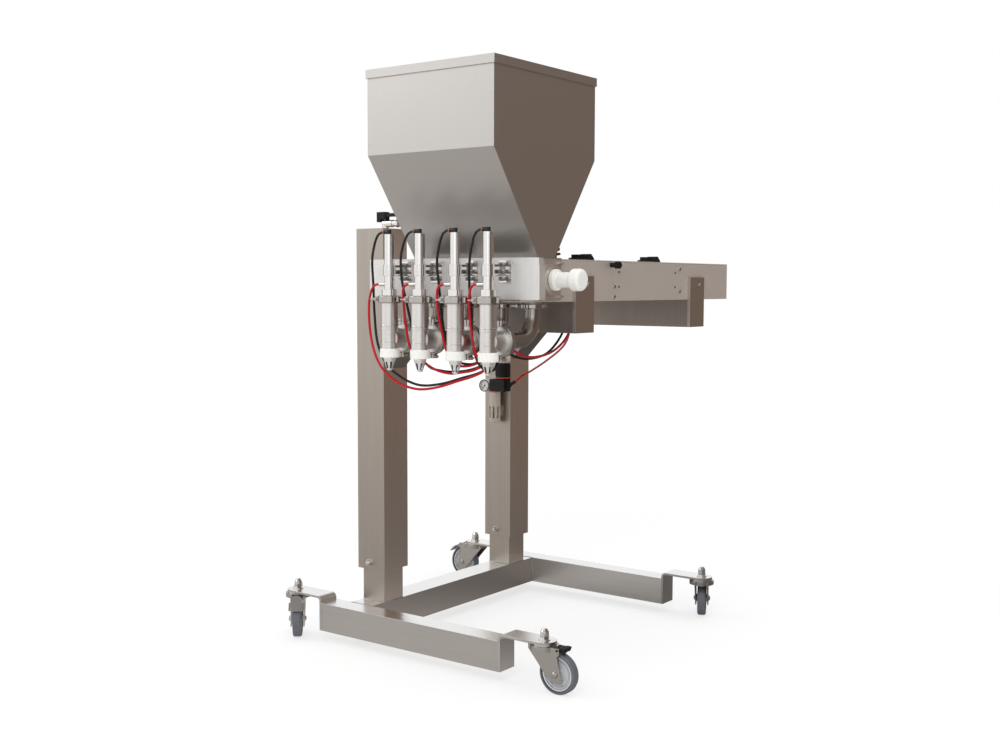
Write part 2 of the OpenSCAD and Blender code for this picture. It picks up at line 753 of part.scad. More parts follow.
// Screws on the +X side of the housing, the back cover and the arm plates, and the sleeve locking bolts
module housing_screws() {
    side_bolts = [[front_screws, 0.36], [front_screws, 0.11], [rear_screws, 0.83], [rear_screws, 0.23]];
    side_pins = [[front_screws + screw_inset, 0.72], [front_screws + screw_inset, 0.35],
        [rear_screws - screw_inset, 0.72], [rear_screws - screw_inset, 0.34]];
    color([0.78, 0.78, 0.77]) placed() {
        for (b = side_bolts) translate([half_body, b[0], arm_top + b[1] * housing_h]) rotate([0, 90, 0])
            button_head(6, 4);
        for (b = side_pins) translate([half_body, b[0], arm_top + b[1] * housing_h]) rotate([0, 90, 0])
            button_head(3, 1.5);
        for (m = [-1, 1]) for (f = [0.22, 0.8])
            translate([m * (half_body - screw_inset), housing_back, arm_top + f * housing_h])
                rotate([-90, 0, 0])
            button_head(6, 4);
        for (y = column_ys) {
            translate([half_body + end_plate_t, y + 14, arm_top + 40]) rotate([0, 90, 0]) button_head(6, 4);
            translate([crossbar_x - 6, y - sleeve_w / 2, sleeve_bottom + 20]) rotate([90, 0, 0])
                acorn(9, 14);
        }
    }
}

// Ribbed slide latch on the lid: a low base, three ribs and a thumb wedge
module lid_latch(y) {
    w = 26;
    base_h = 5;
    z = housing_top + seat;
    color([0.06, 0.06, 0.06]) placed() translate([half_body - 42, y, z]) {
        block([0, w], [0, latch_len * 0.68], [0, base_h]);
        for (k = [0:2]) block([2, w - 2], [latch_len * (0.12 + 0.17 * k), latch_len * (0.12 + 0.17 * k) + 5],
            [base_h - eps, base_h + 8]);
        translate([0, latch_len * 0.66, 0]) rotate([90, 0, 90]) linear_extrude(height = w)
            polygon([[0, 0], [latch_len * 0.34, 0], [latch_len * 0.33, 4], [latch_len * 0.16, 15],
                [latch_len * 0.05, 15], [0, 8]]);
    }
}

module near_lid_latch() {
    lid_latch(near_latch_y);
}

module far_lid_latch() {
    lid_latch(far_latch_y);
}

// Spring pin with a black pull knob on the housing's side
module index_plunger() {
    color([0.10, 0.10, 0.10]) placed() {
        rod_x([half_body - sheet_t + seat, pin_y, pin_z], pin_r, sheet_t + 6);
        rod_x([half_body + seat, pin_y, pin_z], 5.9, 12);
        translate([half_body + 12, pin_y, pin_z]) rotate([0, 90, 0]) soft_rod(9, 16, 3);
    }
}

// Valve block with a cross bore, a feed slot over each nozzle, a port to each piston and an outlet
module valve_body() {
    color([0.84, 0.84, 0.83]) placed() {
        difference() {
            block([-half_body + sheet_t, half_body - sheet_t], [-valve_s / 2, valve_s / 2],
                [valve_z0, valve_top]);
            rod_x([-half_body - eps, 0, valve_z], spool_bore_r, body_w + 2 * eps);
            for (x = nozzle_xs) {
                rod_z([x, 0, valve_z], port_r, valve_s);
                rod_y([x, 0, valve_z], port_r, valve_s);
                rod_z([x, 0, valve_z0 - eps], port_r, valve_s / 2);
            }
        }
        for (x = nozzle_xs) {
            pipe_z_way([x, 0, port_end_z - ferrule_h], port_r + 3, port_r, valve_z0 - port_end_z + ferrule_h);
            pipe_z_way([x, 0, port_end_z - ferrule_h], small_ferrule_r, port_r, ferrule_h);
        }
    }
}

// Square end plates with a gland ring on the knob end and four studs with nuts on each
module valve_flange() {
    stud = valve_s / 2 - 9;
    color([0.80, 0.79, 0.77]) placed() for (m = [0, 1]) mirror([m, 0, 0]) {
        difference() {
            union() {
                block([half_body, half_body + flange_t], [-valve_s / 2, valve_s / 2], [valve_z0, valve_top]);
                block([half_body - sheet_t, half_body + eps], [-valve_s / 2, valve_s / 2],
                    [arm_top + low_wall_h + seat, valve_top]);
                if (m == 0) rod_x([half_body + flange_t - eps, 0, valve_z], gland_r, gland_t + eps);
            }
            rod_x([half_body - sheet_t - eps, 0, valve_z], gland_bore,
                flange_t + gland_t + 3 * eps + sheet_t);
        }
        for (y = [-stud, stud]) for (z = [valve_z - stud, valve_z + stud])
            translate([half_body + flange_t, y, z]) rotate([0, 90, 0]) {
                cylinder(r = 5.5, h = 5, $fn = 6);
                cylinder(r = 3, h = 14);
            }
    }
}

// Plastic rotary spool: an angled way for each nozzle, a neck through the gland and the white knob
module valve_spool() {
    way_r = port_r - 1;
    core_x = half_body - sheet_t - seat;
    color([0.95, 0.95, 0.93]) placed() {
        difference() {
            rod_x([-core_x, 0, valve_z], spool_r, 2 * core_x);
            for (x = nozzle_xs) {
                rod_z([x, 0, valve_z], way_r, valve_s);
                rod_y([x, 0, valve_z], way_r, valve_s);
            }
        }
        rod_x([-half_body - flange_t - 6, 0, valve_z], gland_bore - run_gap,
            half_body + flange_t + 6 - core_x + eps);
        rod_x([core_x - eps, 0, valve_z], gland_bore - run_gap, disc_x - core_x + 2 * eps);
        translate([disc_x, 0, valve_z]) rotate([0, 90, 0]) soft_rod(disc_r, disc_t, 3);
        rod_x([disc_x + disc_t - eps, 0, valve_z], spool_neck_r, knob_x - disc_x - disc_t + 2 * eps);
        translate([knob_x, 0, valve_z]) rotate([0, 90, 0]) soft_rod(knob_r, knob_len, 8);
    }
}

// Air motor that turns the spool, on the hidden end of the valve
module valve_actuator() {
    x1 = -half_body - flange_t - 8;
    color([0.30, 0.31, 0.33]) placed() difference() {
        union() {
            block([x1 - 52, x1], [-34, 34], [valve_z - 28, valve_z + 34]);
            rod_x([x1 - eps, 0, valve_z], 28, 8 + eps);
        }
        rod_x([x1 - 20, 0, valve_z], gland_bore + 0.05, 40);
    }
}

module product_cylinders() {
    color([0.82, 0.82, 0.80]) placed() for (x = nozzle_xs) difference() {
        union() {
            rod_y([x, barrel_y, valve_z], barrel_r, barrel_len);
            rod_y([x, barrel_y, valve_z], barrel_r + 8, 10);
        }
        rod_y([x, barrel_y - eps, valve_z], barrel_bore_r, barrel_len + 2 * eps);
    }
}

module pistons() {
    color([0.90, 0.90, 0.88]) placed() for (x = nozzle_xs) {
        rod_y([x, piston_y, valve_z], barrel_bore_r - run_gap, piston_len);
        rod_y([x, piston_y + piston_len, valve_z], rod_r, cross_y - piston_y - piston_len);
    }
}

// Plate that drives all the pistons, with the drive cylinder's rod and piston
module crosshead() {
    half = half_body - sheet_t - 6;
    head_len = 20;
    color([0.60, 0.61, 0.63]) placed() {
        block([-half, half], [cross_y, cross_y + cross_t], [cross_z, cross_z + cross_h]);
        rod_y([0, cross_y + cross_t - eps, valve_z - 8], drive_rod_r, drive_y + 40 - cross_y - cross_t);
        rod_y([0, drive_y + 30, valve_z - 8], drive_bore_r - run_gap, head_len);
    }
}

module drive_cylinder() {
    z = valve_z - 8;
    color([0.70, 0.71, 0.73]) placed() difference() {
        union() {
            rod_y([0, drive_y, z], drive_r, drive_len);
            for (y = [drive_y, drive_y + drive_len - 24])
                block([-drive_r - 3, drive_r + 3], [y, y + 24], [valve_z0, z + drive_r + 3]);
        }
        rod_y([0, drive_y + 20, z], drive_bore_r, drive_len - 40);
        rod_y([0, drive_y - eps, z], drive_rod_r + run_gap, 30);
    }
}

// Hopper

module hopper_outline(t) {
    d = hopper_d / 2 - t;
    o = outlet_d / 2 - t;
    polygon([[-o, hopper_z - (t > 0 ? eps : 0)], [o, hopper_z - (t > 0 ? eps : 0)],
        [o, hopper_z + hopper_base_t], [d, hopper_break + (t > 0 ? t / 2 : 0)],
        [d, hopper_top + (t > 0 ? eps : 0)], [-d, hopper_top + (t > 0 ? eps : 0)],
        [-d, hopper_break + (t > 0 ? t / 2 : 0)], [-o, hopper_z + hopper_base_t]]);
}

module hopper() {
    color([0.62, 0.60, 0.57]) placed() difference() {
        union() {
            translate([-half_body, 0, 0]) rotate([90, 0, 90]) linear_extrude(height = body_w)
                hopper_outline(0);
            block([-half_body - rim_t, half_body + rim_t], [-hopper_d / 2 - rim_t, hopper_d / 2 + rim_t],
                [hopper_top - rim_h, hopper_top]);
            block([-half_body, half_body], [-valve_s / 2, valve_s / 2], [hopper_z, hopper_z + hopper_base_t]);
            block([latch_x - 18, half_body], [valve_s / 2 - eps, step_y - seat],
                [hopper_z, hopper_z + hopper_base_t]);
        }
        translate([-half_body + hopper_t, 0, 0]) rotate([90, 0, 90])
            linear_extrude(height = body_w - 2 * hopper_t) hopper_outline(hopper_t);
    }
}

// Swing lever with a small ball, on a tab behind the hopper's outlet
module hopper_latch() {
    color([0.08, 0.08, 0.08]) placed() translate([latch_x, latch_y, hopper_z + hopper_base_t + seat]) {
        soft_rod(6, 10.5, 1);
        translate([-3, -5, 4]) rotate([0, -10, 0]) cube([18, 10, 5]);
        translate([0, 0, 8]) rotate([-49, 0, 0]) {
            cylinder(r = 2, h = 20);
            translate([0, 0, 20]) sphere(r = 5);
        }
    }
}

// Rail plate with the narrower bar on its top edge
module rail_plate() {
    color([0.87, 0.87, 0.86]) placed() {
        block([-rail_len / 2, rail_len / 2], [-rail_front, rail_back], [rail_bottom, rail_top]);
        block([-rail_len / 2, rail_len / 2 - 2], [-rail_front + 1, rail_back - 6],
            [rail_top, rail_top + bar_h]);
        for (x = [-half_body + screw_inset, 0, half_body - screw_inset])
            block([x - 12, x + 12], [rail_back - 6, -valve_s / 2], [rail_top - 0.28 * rail_h, rail_top]);
    }
}

// Nozzle hangers on the rail: a foot plate with six acorn nuts and a bar to the air cylinder
module rail_hardware() {
    foot_x = 15;
    color([0.80, 0.80, 0.80]) placed() for (x = nozzle_xs) {
        difference() {
            union() {
                block([x + foot_x - 17, x + foot_x + 17], [-rail_front - 4, -rail_front],
                    [rail_top - 0.51 * rail_h, rail_top + 10]);
                block([x - 3, x + 7], [-nozzle_y, -rail_front - 3], [hanger_z, hanger_z + hanger_h]);
                rod_z([x, -nozzle_y, hanger_z], air_r + 3, hanger_h);
            }
            rod_z([x, -nozzle_y, hanger_z - eps], air_r + clamp_play, hanger_h + 2 * eps);
        }
        for (dx = [-9, 9]) for (dz = [-31, -15, 1])
            translate([x + foot_x + dx, -rail_front - 4, rail_top + dz]) rotate([90, 0, 0]) acorn(5.5, 12);
    }
}

// Nozzles

module nozzle_bodies() {
    bore = nozzle_r - nozzle_wall;
    color([0.66, 0.66, 0.65]) placed() for (x = nozzle_xs) difference() {
        union() {
            rod_z([x, -nozzle_y, nozzle_bottom], nozzle_r, nozzle_top - nozzle_bottom);
            rod_z([x, -nozzle_y, nozzle_top - ferrule_h], ferrule_r, ferrule_h);
            rod_z([x, -nozzle_y, nozzle_bottom + 46], nozzle_r + 0.6, 3);
            rod_z([x, -nozzle_y, nozzle_bottom - 8], nozzle_r - 3, 9);
            rod_y([x, -nozzle_y, pipe_z], stub_r, nozzle_y - clamp_y - big_ferrule_t);
            rod_y([x, -clamp_y - big_ferrule_t, pipe_z], big_ferrule_r, big_ferrule_t);
        }
        rod_z([x, -nozzle_y, nozzle_bottom + 4], bore, nozzle_top - nozzle_bottom);
        rod_z([x, -nozzle_y, nozzle_bottom - 8 - eps], plug_r + run_gap, 14);
        rod_y([x, -nozzle_y, pipe_z], elbow_r - 2, nozzle_y - clamp_y + eps);
        translate([x - 40, -nozzle_y - 60, pipe_z - 40]) cube([80, 60 - nozzle_r - 0.01, 80]);
    }
}

module nozzle_collars() {
    color([0.95, 0.95, 0.94]) placed() for (x = nozzle_xs)
        translate([x, -nozzle_y, nozzle_bottom - collar_h]) difference() {
            soft_rod(collar_r, collar_h, 2);
            translate([0, 0, collar_h - 8.05]) cylinder(r = nozzle_r - 2.95, h = 9);
            translate([0, 0, -eps]) cylinder(r = tip_r1 - 2.5, h = collar_h);
        }
}

// Star-shaped outlet: a thin cone with a rounded foot, six slots and a small mouth
module star_tips() {
    wall = 1.6;
    slot = 4.6;
    mouth = 3;
    foot = tip_r2 - mouth;
    arc = [-90:15:0];
    color([0.88, 0.88, 0.87]) placed() for (x = nozzle_xs)
        translate([x, -nozzle_y, nozzle_bottom - collar_h - tip_len]) difference() {
            rotate_extrude() polygon(concat(
                [for (a = arc) [mouth + foot * cos(a), foot + foot * sin(a)]],
                [[tip_r1, tip_len - 3], [tip_r1, tip_len],
                    [tip_r1 - wall, tip_len], [tip_r1 - wall, tip_len - 3],
                    [tip_r2 - wall, foot], [mouth, wall]]));
            for (k = [0:2]) rotate([0, 0, 60 * k + 30]) translate([-20, -slot / 2, foot + 1])
                cube([40, slot, tip_len - foot - 11]);
        }
}

module air_cylinders() {
    color([0.84, 0.84, 0.83]) placed() for (x = nozzle_xs) difference() {
        union() {
            rod_z([x, -nozzle_y, nozzle_top], ferrule_r, ferrule_h);
            rod_z([x, -nozzle_y, nozzle_top + ferrule_h - eps], nozzle_r - 2, 20);
            rod_z([x, -nozzle_y, air_cap_z], air_r, air_top - air_cap_z);
        }
        rod_z([x, -nozzle_y, air_cap_z + 14], air_bore_r, air_top - air_cap_z - 20);
        rod_z([x, -nozzle_y, nozzle_top - eps], plunger_rod_r + run_gap, 60);
    }
}

// Shutter rod: a plug in the outlet, the rod, and the piston in the air cylinder
module plunger(k) {
    x = nozzle_xs[k];
    color([0.75, 0.75, 0.74]) placed() {
        rod_z([x, -nozzle_y, nozzle_bottom - 7], plug_r, 12);
        rod_z([x, -nozzle_y, nozzle_bottom + 4], plunger_rod_r, air_cap_z + 24 - nozzle_bottom);
        rod_z([x, -nozzle_y, air_cap_z + 15], air_bore_r - run_gap, 12);
    }
}

// Elbows from the big clamps behind the nozzles up to the valve outlets
module elbows() {
    bore = elbow_r - 2;
    y_bend = -elbow_bend;
    color([0.84, 0.84, 0.82]) placed() for (x = nozzle_xs) {
        translate([x, 0, pipe_z + elbow_bend]) rotate([90, 0, 90]) translate([-elbow_bend, 0, 0])
            rotate([0, 0, -90]) rotate_extrude(angle = 90) translate([elbow_bend, 0]) difference() {
                circle(r = elbow_r);
                circle(r = bore);
            }
        difference() {
            union() {
                rod_y([x, -clamp_y, pipe_z], elbow_r, clamp_y + y_bend);
                rod_y([x, -clamp_y, pipe_z], big_ferrule_r, big_ferrule_t);
            }
            rod_y([x, -clamp_y - eps, pipe_z], bore, clamp_y + y_bend + 2 * eps);
        }
        pipe_z_way([x, 0, pipe_z + elbow_bend], elbow_r, bore, elbow_top_z - pipe_z - elbow_bend + ferrule_h);
        pipe_z_way([x, 0, elbow_top_z], small_ferrule_r, bore, ferrule_h);
    }
}

// Clamp ring along Z around ferrules, split on the -X side, with ears and a wing nut
module clamp_ring(r, bore, w, ear) {
    difference() {
        union() {
            translate([0, 0, -w / 2]) soft_rod(r, w, 2.5);
            translate([-r - ear, -8, -w / 2 + 2]) cube([ear + 8, 16, w - 4]);
            translate([r - 4, -6, -w / 2 + 3]) cube([10, 12, w - 6]);
        }
        translate([0, 0, -w]) cylinder(r = bore, h = 2 * w);
        translate([-r - ear - 1, -1, -w]) cube([r + ear - 1, 2, 2 * w]);
    }
}

// Clamp of two halves, bolted together above and below the pipe
module split_clamp(r, bore, w) {
    lug = 9;
    difference() {
        union() {
            translate([0, 0, -w / 2]) soft_rod(r, w, 2.5);
            translate([-7, -r - lug, -w / 2 + 1]) cube([14, 2 * (r + lug), w - 2]);
        }
        translate([0, 0, -w]) cylinder(r = bore, h = 2 * w);
        translate([-1, -r - lug - 1, -w]) cube([2, 2 * (r + lug) + 2, 2 * w]);
    }
    for (m = [0, 1]) mirror([0, m, 0]) {
        rod_x([-17, r + 4.5, 0], 2.5, 32);
        translate([-13, r + 4.5, 0]) rotate([0, 90, 0]) cylinder(r = 5, h = 6, $fn = 6);
        translate([7, r + 4.5, 0]) rotate([0, 90, 0]) cylinder(r = 5, h = 4, $fn = 6);
    }
}

module wing_nut(r) {
    cylinder(r = r, h = 7);
    for (m = [0, 1]) mirror([m, 0, 0]) translate([r * 0.8, -1.5, 0]) rotate([0, -35, 0])
        cube([12, 3, 5]);
}

module pipe_clamps() {
    color([0.82, 0.82, 0.81]) placed() for (x = nozzle_xs) {
        translate([x, -nozzle_y, nozzle_top]) clamp_ring(nozzle_clamp_r, ferrule_r + clamp_play, 18, 12);
        translate([x - nozzle_clamp_r - 7, -nozzle_y - 8, nozzle_top]) rotate([90, 0, 0]) wing_nut(4);
        translate([x, -clamp_y, pipe_z]) rotate([90, 0, 0])
            split_clamp(big_clamp_r, big_ferrule_r + clamp_play, 15);
        translate([x, 0, elbow_top_z + ferrule_h])
            clamp_ring(small_clamp_r, small_ferrule_r + clamp_play, 12, 11);
        translate([x - small_clamp_r - 6, -8, elbow_top_z + ferrule_h]) rotate([90, 0, 0]) wing_nut(4);
    }
}

// Push-in fittings: elbows on the cylinder tops, straight ones at the cylinders' feet and bulkheads
module tube_fittings() {
    ring = 2.5;
    color([0.90, 0.42, 0.14]) placed() {
        for (x = nozzle_xs) {
            rod_z([x, -nozzle_y, air_top], fitting_r, top_port_z - air_top + fitting_r);
            rod_x([x - top_port_x + ring, -nozzle_y, top_port_z], fitting_r, top_port_x - ring);
            rod_x([x - top_port_x, -nozzle_y, top_port_z], fitting_r - 1, ring + eps);
            rod_x([x - low_port_x + ring, -nozzle_y, low_port_z], fitting_r, low_port_x - ring - air_r);
            rod_x([x - low_port_x, -nozzle_y, low_port_z], fitting_r - 1, ring + eps);
        }
        for (b = [red_bulkhead, black_bulkhead, supply_bulkhead]) {
            rod_z([b[0], b[1], bulkhead_z], fitting_r, 40);
            translate([b[0], b[1], arm_top - 5]) cylinder(r = 8.5, h = 5, $fn = 6);
        }
    }
}

// Distribution block for the cylinder air, on a strap under the rail plate
module tube_manifold() {
    y0 = manifold_y[0];
    color([0.20, 0.20, 0.21]) placed() {
        block(manifold_x, manifold_y, manifold_z);
        block([(manifold_x[0] + manifold_x[1]) / 2 - 8, (manifold_x[0] + manifold_x[1]) / 2 + 8],
            [y0, y0 + 3], [manifold_z[1] - eps, rail_bottom]);
        for (x = manifold_ports) for (y = [manifold_y[0] + 6, manifold_y[1] - 6])
            rod_z([x, y, manifold_port_z], fitting_r, manifold_z[0] - manifold_port_z + eps);
    }
}

// Air unit

// Regulator block with its mounting foot, gauge neck, outlet elbow and the threaded inlet below
module regulator_body() {
    x0 = reg_x - reg_w / 2;
    color([0.07, 0.07, 0.08]) placed() difference() {
        union() {
            block([x0, x0 + reg_w], [reg_y - reg_d / 2, reg_y + reg_d / 2], [reg_z, reg_z + reg_h]);
            block([x0 + 14, x0 + 40], [reg_y + reg_d / 2 - eps, far_face_y], [reg_z, reg_z + reg_h + 2]);
            block([x0 - 9, x0 + eps], [gauge_front + gauge_t, gauge_front + gauge_t + 12],
                [gauge_z - 6, gauge_z + 6]);
            rod_x([reg_port[0] - eps, reg_port[1], reg_port[2]], 7.5, 13);
            translate([reg_port[0] + 10, reg_port[1], reg_port[2]]) rotate([0, reg_port_tilt, 0])
                cylinder(r = fitting_r, h = reg_port_len);
            rod_z([knob_cx, reg_y, reg_z + reg_h - eps], reg_knob_r - 5, 3 + eps);
        }
        rod_z([inlet_x, reg_y, reg_z - eps], inlet_r, inlet_len + eps);
    }
}

// Slotted guard of the filter bowl with its round bottom and drain
module filter_bowl() {
    color([0.70, 0.66, 0.58]) placed() translate([bowl_x, reg_y, reg_z - bowl_len]) difference() {
        union() {
            rotate_extrude() polygon([[0, 0], [5, 0], [5, 4], [bowl_r - 5, 4], [bowl_r - 1, 10],
                [bowl_r, 16], [bowl_r, bowl_len - 6], [bowl_r - 1.5, bowl_len], [0, bowl_len]]);
        }
        translate([0, 0, 12]) cylinder(r = bowl_r - 3, h = bowl_len - 24);
        for (a = [0:45:315]) rotate([0, 0, a - 20]) translate([bowl_r - 5, -3, 17]) cube([8, 6, 36]);
    }
}

module regulator_knob() {
    color([0.05, 0.05, 0.05]) placed() translate([knob_cx, reg_y, reg_z + reg_h + 3 + seat]) difference() {
        union() {
            cylinder(r = reg_knob_r - 1.5, h = 8);
            translate([0, 0, 8]) soft_rod(reg_knob_r, reg_knob_len - 8, 2.5);
        }
        for (a = [0:20:340]) rotate([0, 0, a]) translate([reg_knob_r + 0.6, 0, 12])
            cylinder(r = 1.8, h = reg_knob_len - 17, $fn = 16);
    }
}

module pressure_gauge() {
    color([0.88, 0.88, 0.87]) placed() translate([gauge_x, gauge_front + gauge_t, gauge_z])
        rotate([90, 0, 0]) difference() {
            union() {
                soft_rod(gauge_r, gauge_t, 1.2);
                translate([4, -6, -12]) cube([11, 12, 12 + eps]);
            }
            translate([0, 0, gauge_t - 3.5]) cylinder(r = gauge_r - 2, h = 4);
        }
}

module gauge_needle() {
    color([0.10, 0.10, 0.10]) placed() translate([gauge_x, gauge_front + 3.5 - seat, gauge_z])
        rotate([90, 0, 0]) {
            cylinder(r = 2.2, h = 1.2);
            rotate([0, 0, 135]) translate([-0.5, -3, 0]) cube([1, 16, 0.8]);
        }
}

// Shutoff valve on the near column's head, with its black lever

module shutoff_valve() {
    color([0.80, 0.80, 0.78]) placed() {
        rod_z([lever_x, lever_y, sleeve_top], 9, 12);
        rod_x([lever_x - 5, lever_y, sleeve_top + 14], 10, 33);
        rod_x([lever_x + 28 - eps, lever_y, sleeve_top + 14], 8, 22);
        translate([lever_x + 40, lever_y, sleeve_top + 14]) rotate([0, 90, 0])
            cylinder(r = 11, h = 9, $fn = 6);
        rod_z([lever_x, lever_y, sleeve_top + 20], 4, 10);
    }
}

module shutoff_lever() {
    z = sleeve_top + 24.5;
    color([0.06, 0.06, 0.06]) placed() difference() {
        union() {
            rod_z([lever_x, lever_y, z], 11, 10);
            translate([lever_x - 24, lever_y - 9, z + 4]) cube([30, 18, 17]);
            translate([lever_x - 24, lever_y - 9, z - 6]) cube([13, 18, 12]);
            translate([lever_x + 5, lever_y - 7, z + 8]) cube([35, 14, 9]);
        }
        rod_z([lever_x, lever_y, z - eps], 4 + run_gap, 7);
    }
}

// Air tubes

module red_tubes() {
    color([0.72, 0.02, 0.08]) placed() for (r = red_routes) swept(r, tube_r);
}

module black_tubes() {
    color([0.05, 0.05, 0.05]) placed() for (r = black_routes) swept(r, tube_r);
}

near_leg();
far_leg();
crossbar();
column_tubes();
caster_brackets();
caster_stems();
fork(0);  // near_left_fork
wheel(0);  // near_left_wheel
brake(0);  // near_left_brake
fork(1);  // near_right_fork
wheel(1);  // near_right_wheel
brake(1);  // near_right_brake
fork(2);  // far_left_fork
wheel(2);  // far_left_wheel
brake(2);  // far_left_brake
fork(3);  // far_right_fork
wheel(3);  // far_right_wheel
brake(3);  // far_right_brake
column_sleeves();
sleeve_glides();
support_arms();
housing_tray();
housing_lid();
housing_screws();
near_lid_latch();
far_lid_latch();
index_plunger();
valve_body();
valve_flange();
valve_spool();
valve_actuator();
product_cylinders();
pistons();
crosshead();
drive_cylinder();
hopper();
hopper_latch();
rail_plate();
rail_hardware();
nozzle_bodies();
nozzle_collars();
star_tips();
air_cylinders();
plunger(0);  // plunger_1
plunger(1);  // plunger_2
plunger(2);  // plunger_3
plunger(3);  // plunger_4
elbows();
pipe_clamps();
tube_fittings();
tube_manifold();
regulator_body();
filter_bowl();
regulator_knob();
pressure_gauge();
gauge_needle();
shutoff_valve();
shutoff_lever();
red_tubes();
black_tubes();
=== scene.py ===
"""Looks of a four-nozzle filling machine on its wheeled stand.

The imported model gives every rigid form. This script gives each of them its metal,
plastic or rubber, lays the air tubes, adds the small details and sets up the studio.
Lengths in the tables are millimetres in the maker's frame: X = 0 at the middle of the
hopper, Y = 0 at the valve axis and Z = 0 at the floor. Blender, the shaders and the
studio's lamps and cards work in metres.
"""

import json
import logging
import math
from abc import ABC, abstractmethod
from dataclasses import dataclass, field, replace
from enum import Enum
from typing import Callable, Sequence

import bmesh
import bpy
from mathutils import Matrix, Vector

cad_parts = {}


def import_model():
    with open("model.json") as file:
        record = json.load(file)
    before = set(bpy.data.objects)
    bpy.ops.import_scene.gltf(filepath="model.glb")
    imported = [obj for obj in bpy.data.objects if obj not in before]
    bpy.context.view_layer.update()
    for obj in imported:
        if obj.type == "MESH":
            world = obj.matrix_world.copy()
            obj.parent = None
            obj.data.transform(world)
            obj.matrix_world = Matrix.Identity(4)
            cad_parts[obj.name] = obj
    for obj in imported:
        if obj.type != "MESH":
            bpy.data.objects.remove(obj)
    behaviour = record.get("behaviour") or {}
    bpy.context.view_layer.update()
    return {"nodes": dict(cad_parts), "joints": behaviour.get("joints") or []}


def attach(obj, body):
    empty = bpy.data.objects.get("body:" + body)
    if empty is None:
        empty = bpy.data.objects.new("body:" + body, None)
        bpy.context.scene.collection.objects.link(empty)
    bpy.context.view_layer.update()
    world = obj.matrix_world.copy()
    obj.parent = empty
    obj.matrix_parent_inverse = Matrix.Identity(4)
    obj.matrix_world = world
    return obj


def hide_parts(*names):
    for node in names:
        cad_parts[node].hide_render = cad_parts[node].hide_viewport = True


LOG = logging.getLogger("filling_machine")
MM = 0.001

Point = tuple[float, float, float]
Colour = tuple[float, float, float]
Pair = tuple[float, float]
Curve = bpy.types.Curve
Form = bmesh.types.BMesh
Node = bpy.types.Node
Piece = bpy.types.Object
Socket = bpy.types.NodeSocket

# Millimetres in the maker's frame; ORIGIN is the X and Y where the row frame starts
ORIGIN = (-242.85, 365.546)
NOZZLE_XS = (-146.0, -52.5, 52.5, 146.0)
NOZZLE_Y = -172.0
UPPER_FITTING_Z = 1050.0
LOWER_FITTING_Z = 940.0
UPPER_RING_SHIFT = 18.0
LOWER_RING_SHIFT = 32.0
RING_SPAN = (-0.1, 2.4)
SCREW_SHIFT = 15.0
SCREW_YS = (-142.0, -129.05)
SCREW_SLACK = 0.6
ARM_PLATE_X = 183.5
SIDE_PIN_X = 183.0
SIDE_PIN_YS = (322.0, 614.0)
SIDE_PIN_REACH = 4.0
TIP_AXIS_REACH = 0.1

# Limits on a face's normal
SQUARE_ON = 0.9
LIT_FROM_ABOVE = 0.85
FACING_OUT = 0.35


def place(x: float, y: float, z: float) -> Vector:
    """Turn a point of the maker's frame, in millimetres, into the row frame in metres."""
    return Vector(((x - ORIGIN[0]) * MM, (y - ORIGIN[1]) * MM, z * MM))


def aimed(where: Vector, way: Vector, axis: str = "Z") -> Matrix:
    """Return the matrix of a point with the given axis turned along a direction."""
    return Matrix.Translation(where) @ way.to_track_quat(axis, "Y").to_matrix().to_4x4()


def link(name: str, data: bpy.types.ID) -> Piece:
    """Put a new object with the given data into the scene.

    Args:
        name: The object's name.
        data: Its mesh, curve, lamp or camera.

    Returns:
        The object.
    """
    made = bpy.data.objects.new(name, data)
    bpy.context.scene.collection.objects.link(made)
    return made


class Body(str, Enum):
    """Moving bodies that the added pieces ride on."""

    BASE = "base"
    HEAD = "head"
    KNOB = "pressure_knob"


class Slot(str, Enum):
    """Material slots of the record."""

    LEG = "brushed_leg"
    POLISHED = "polished"
    PLASTIC = "black_plastic"
    RED = "red_hose"
    BLACK = "black_hose"


# Shader building blocks


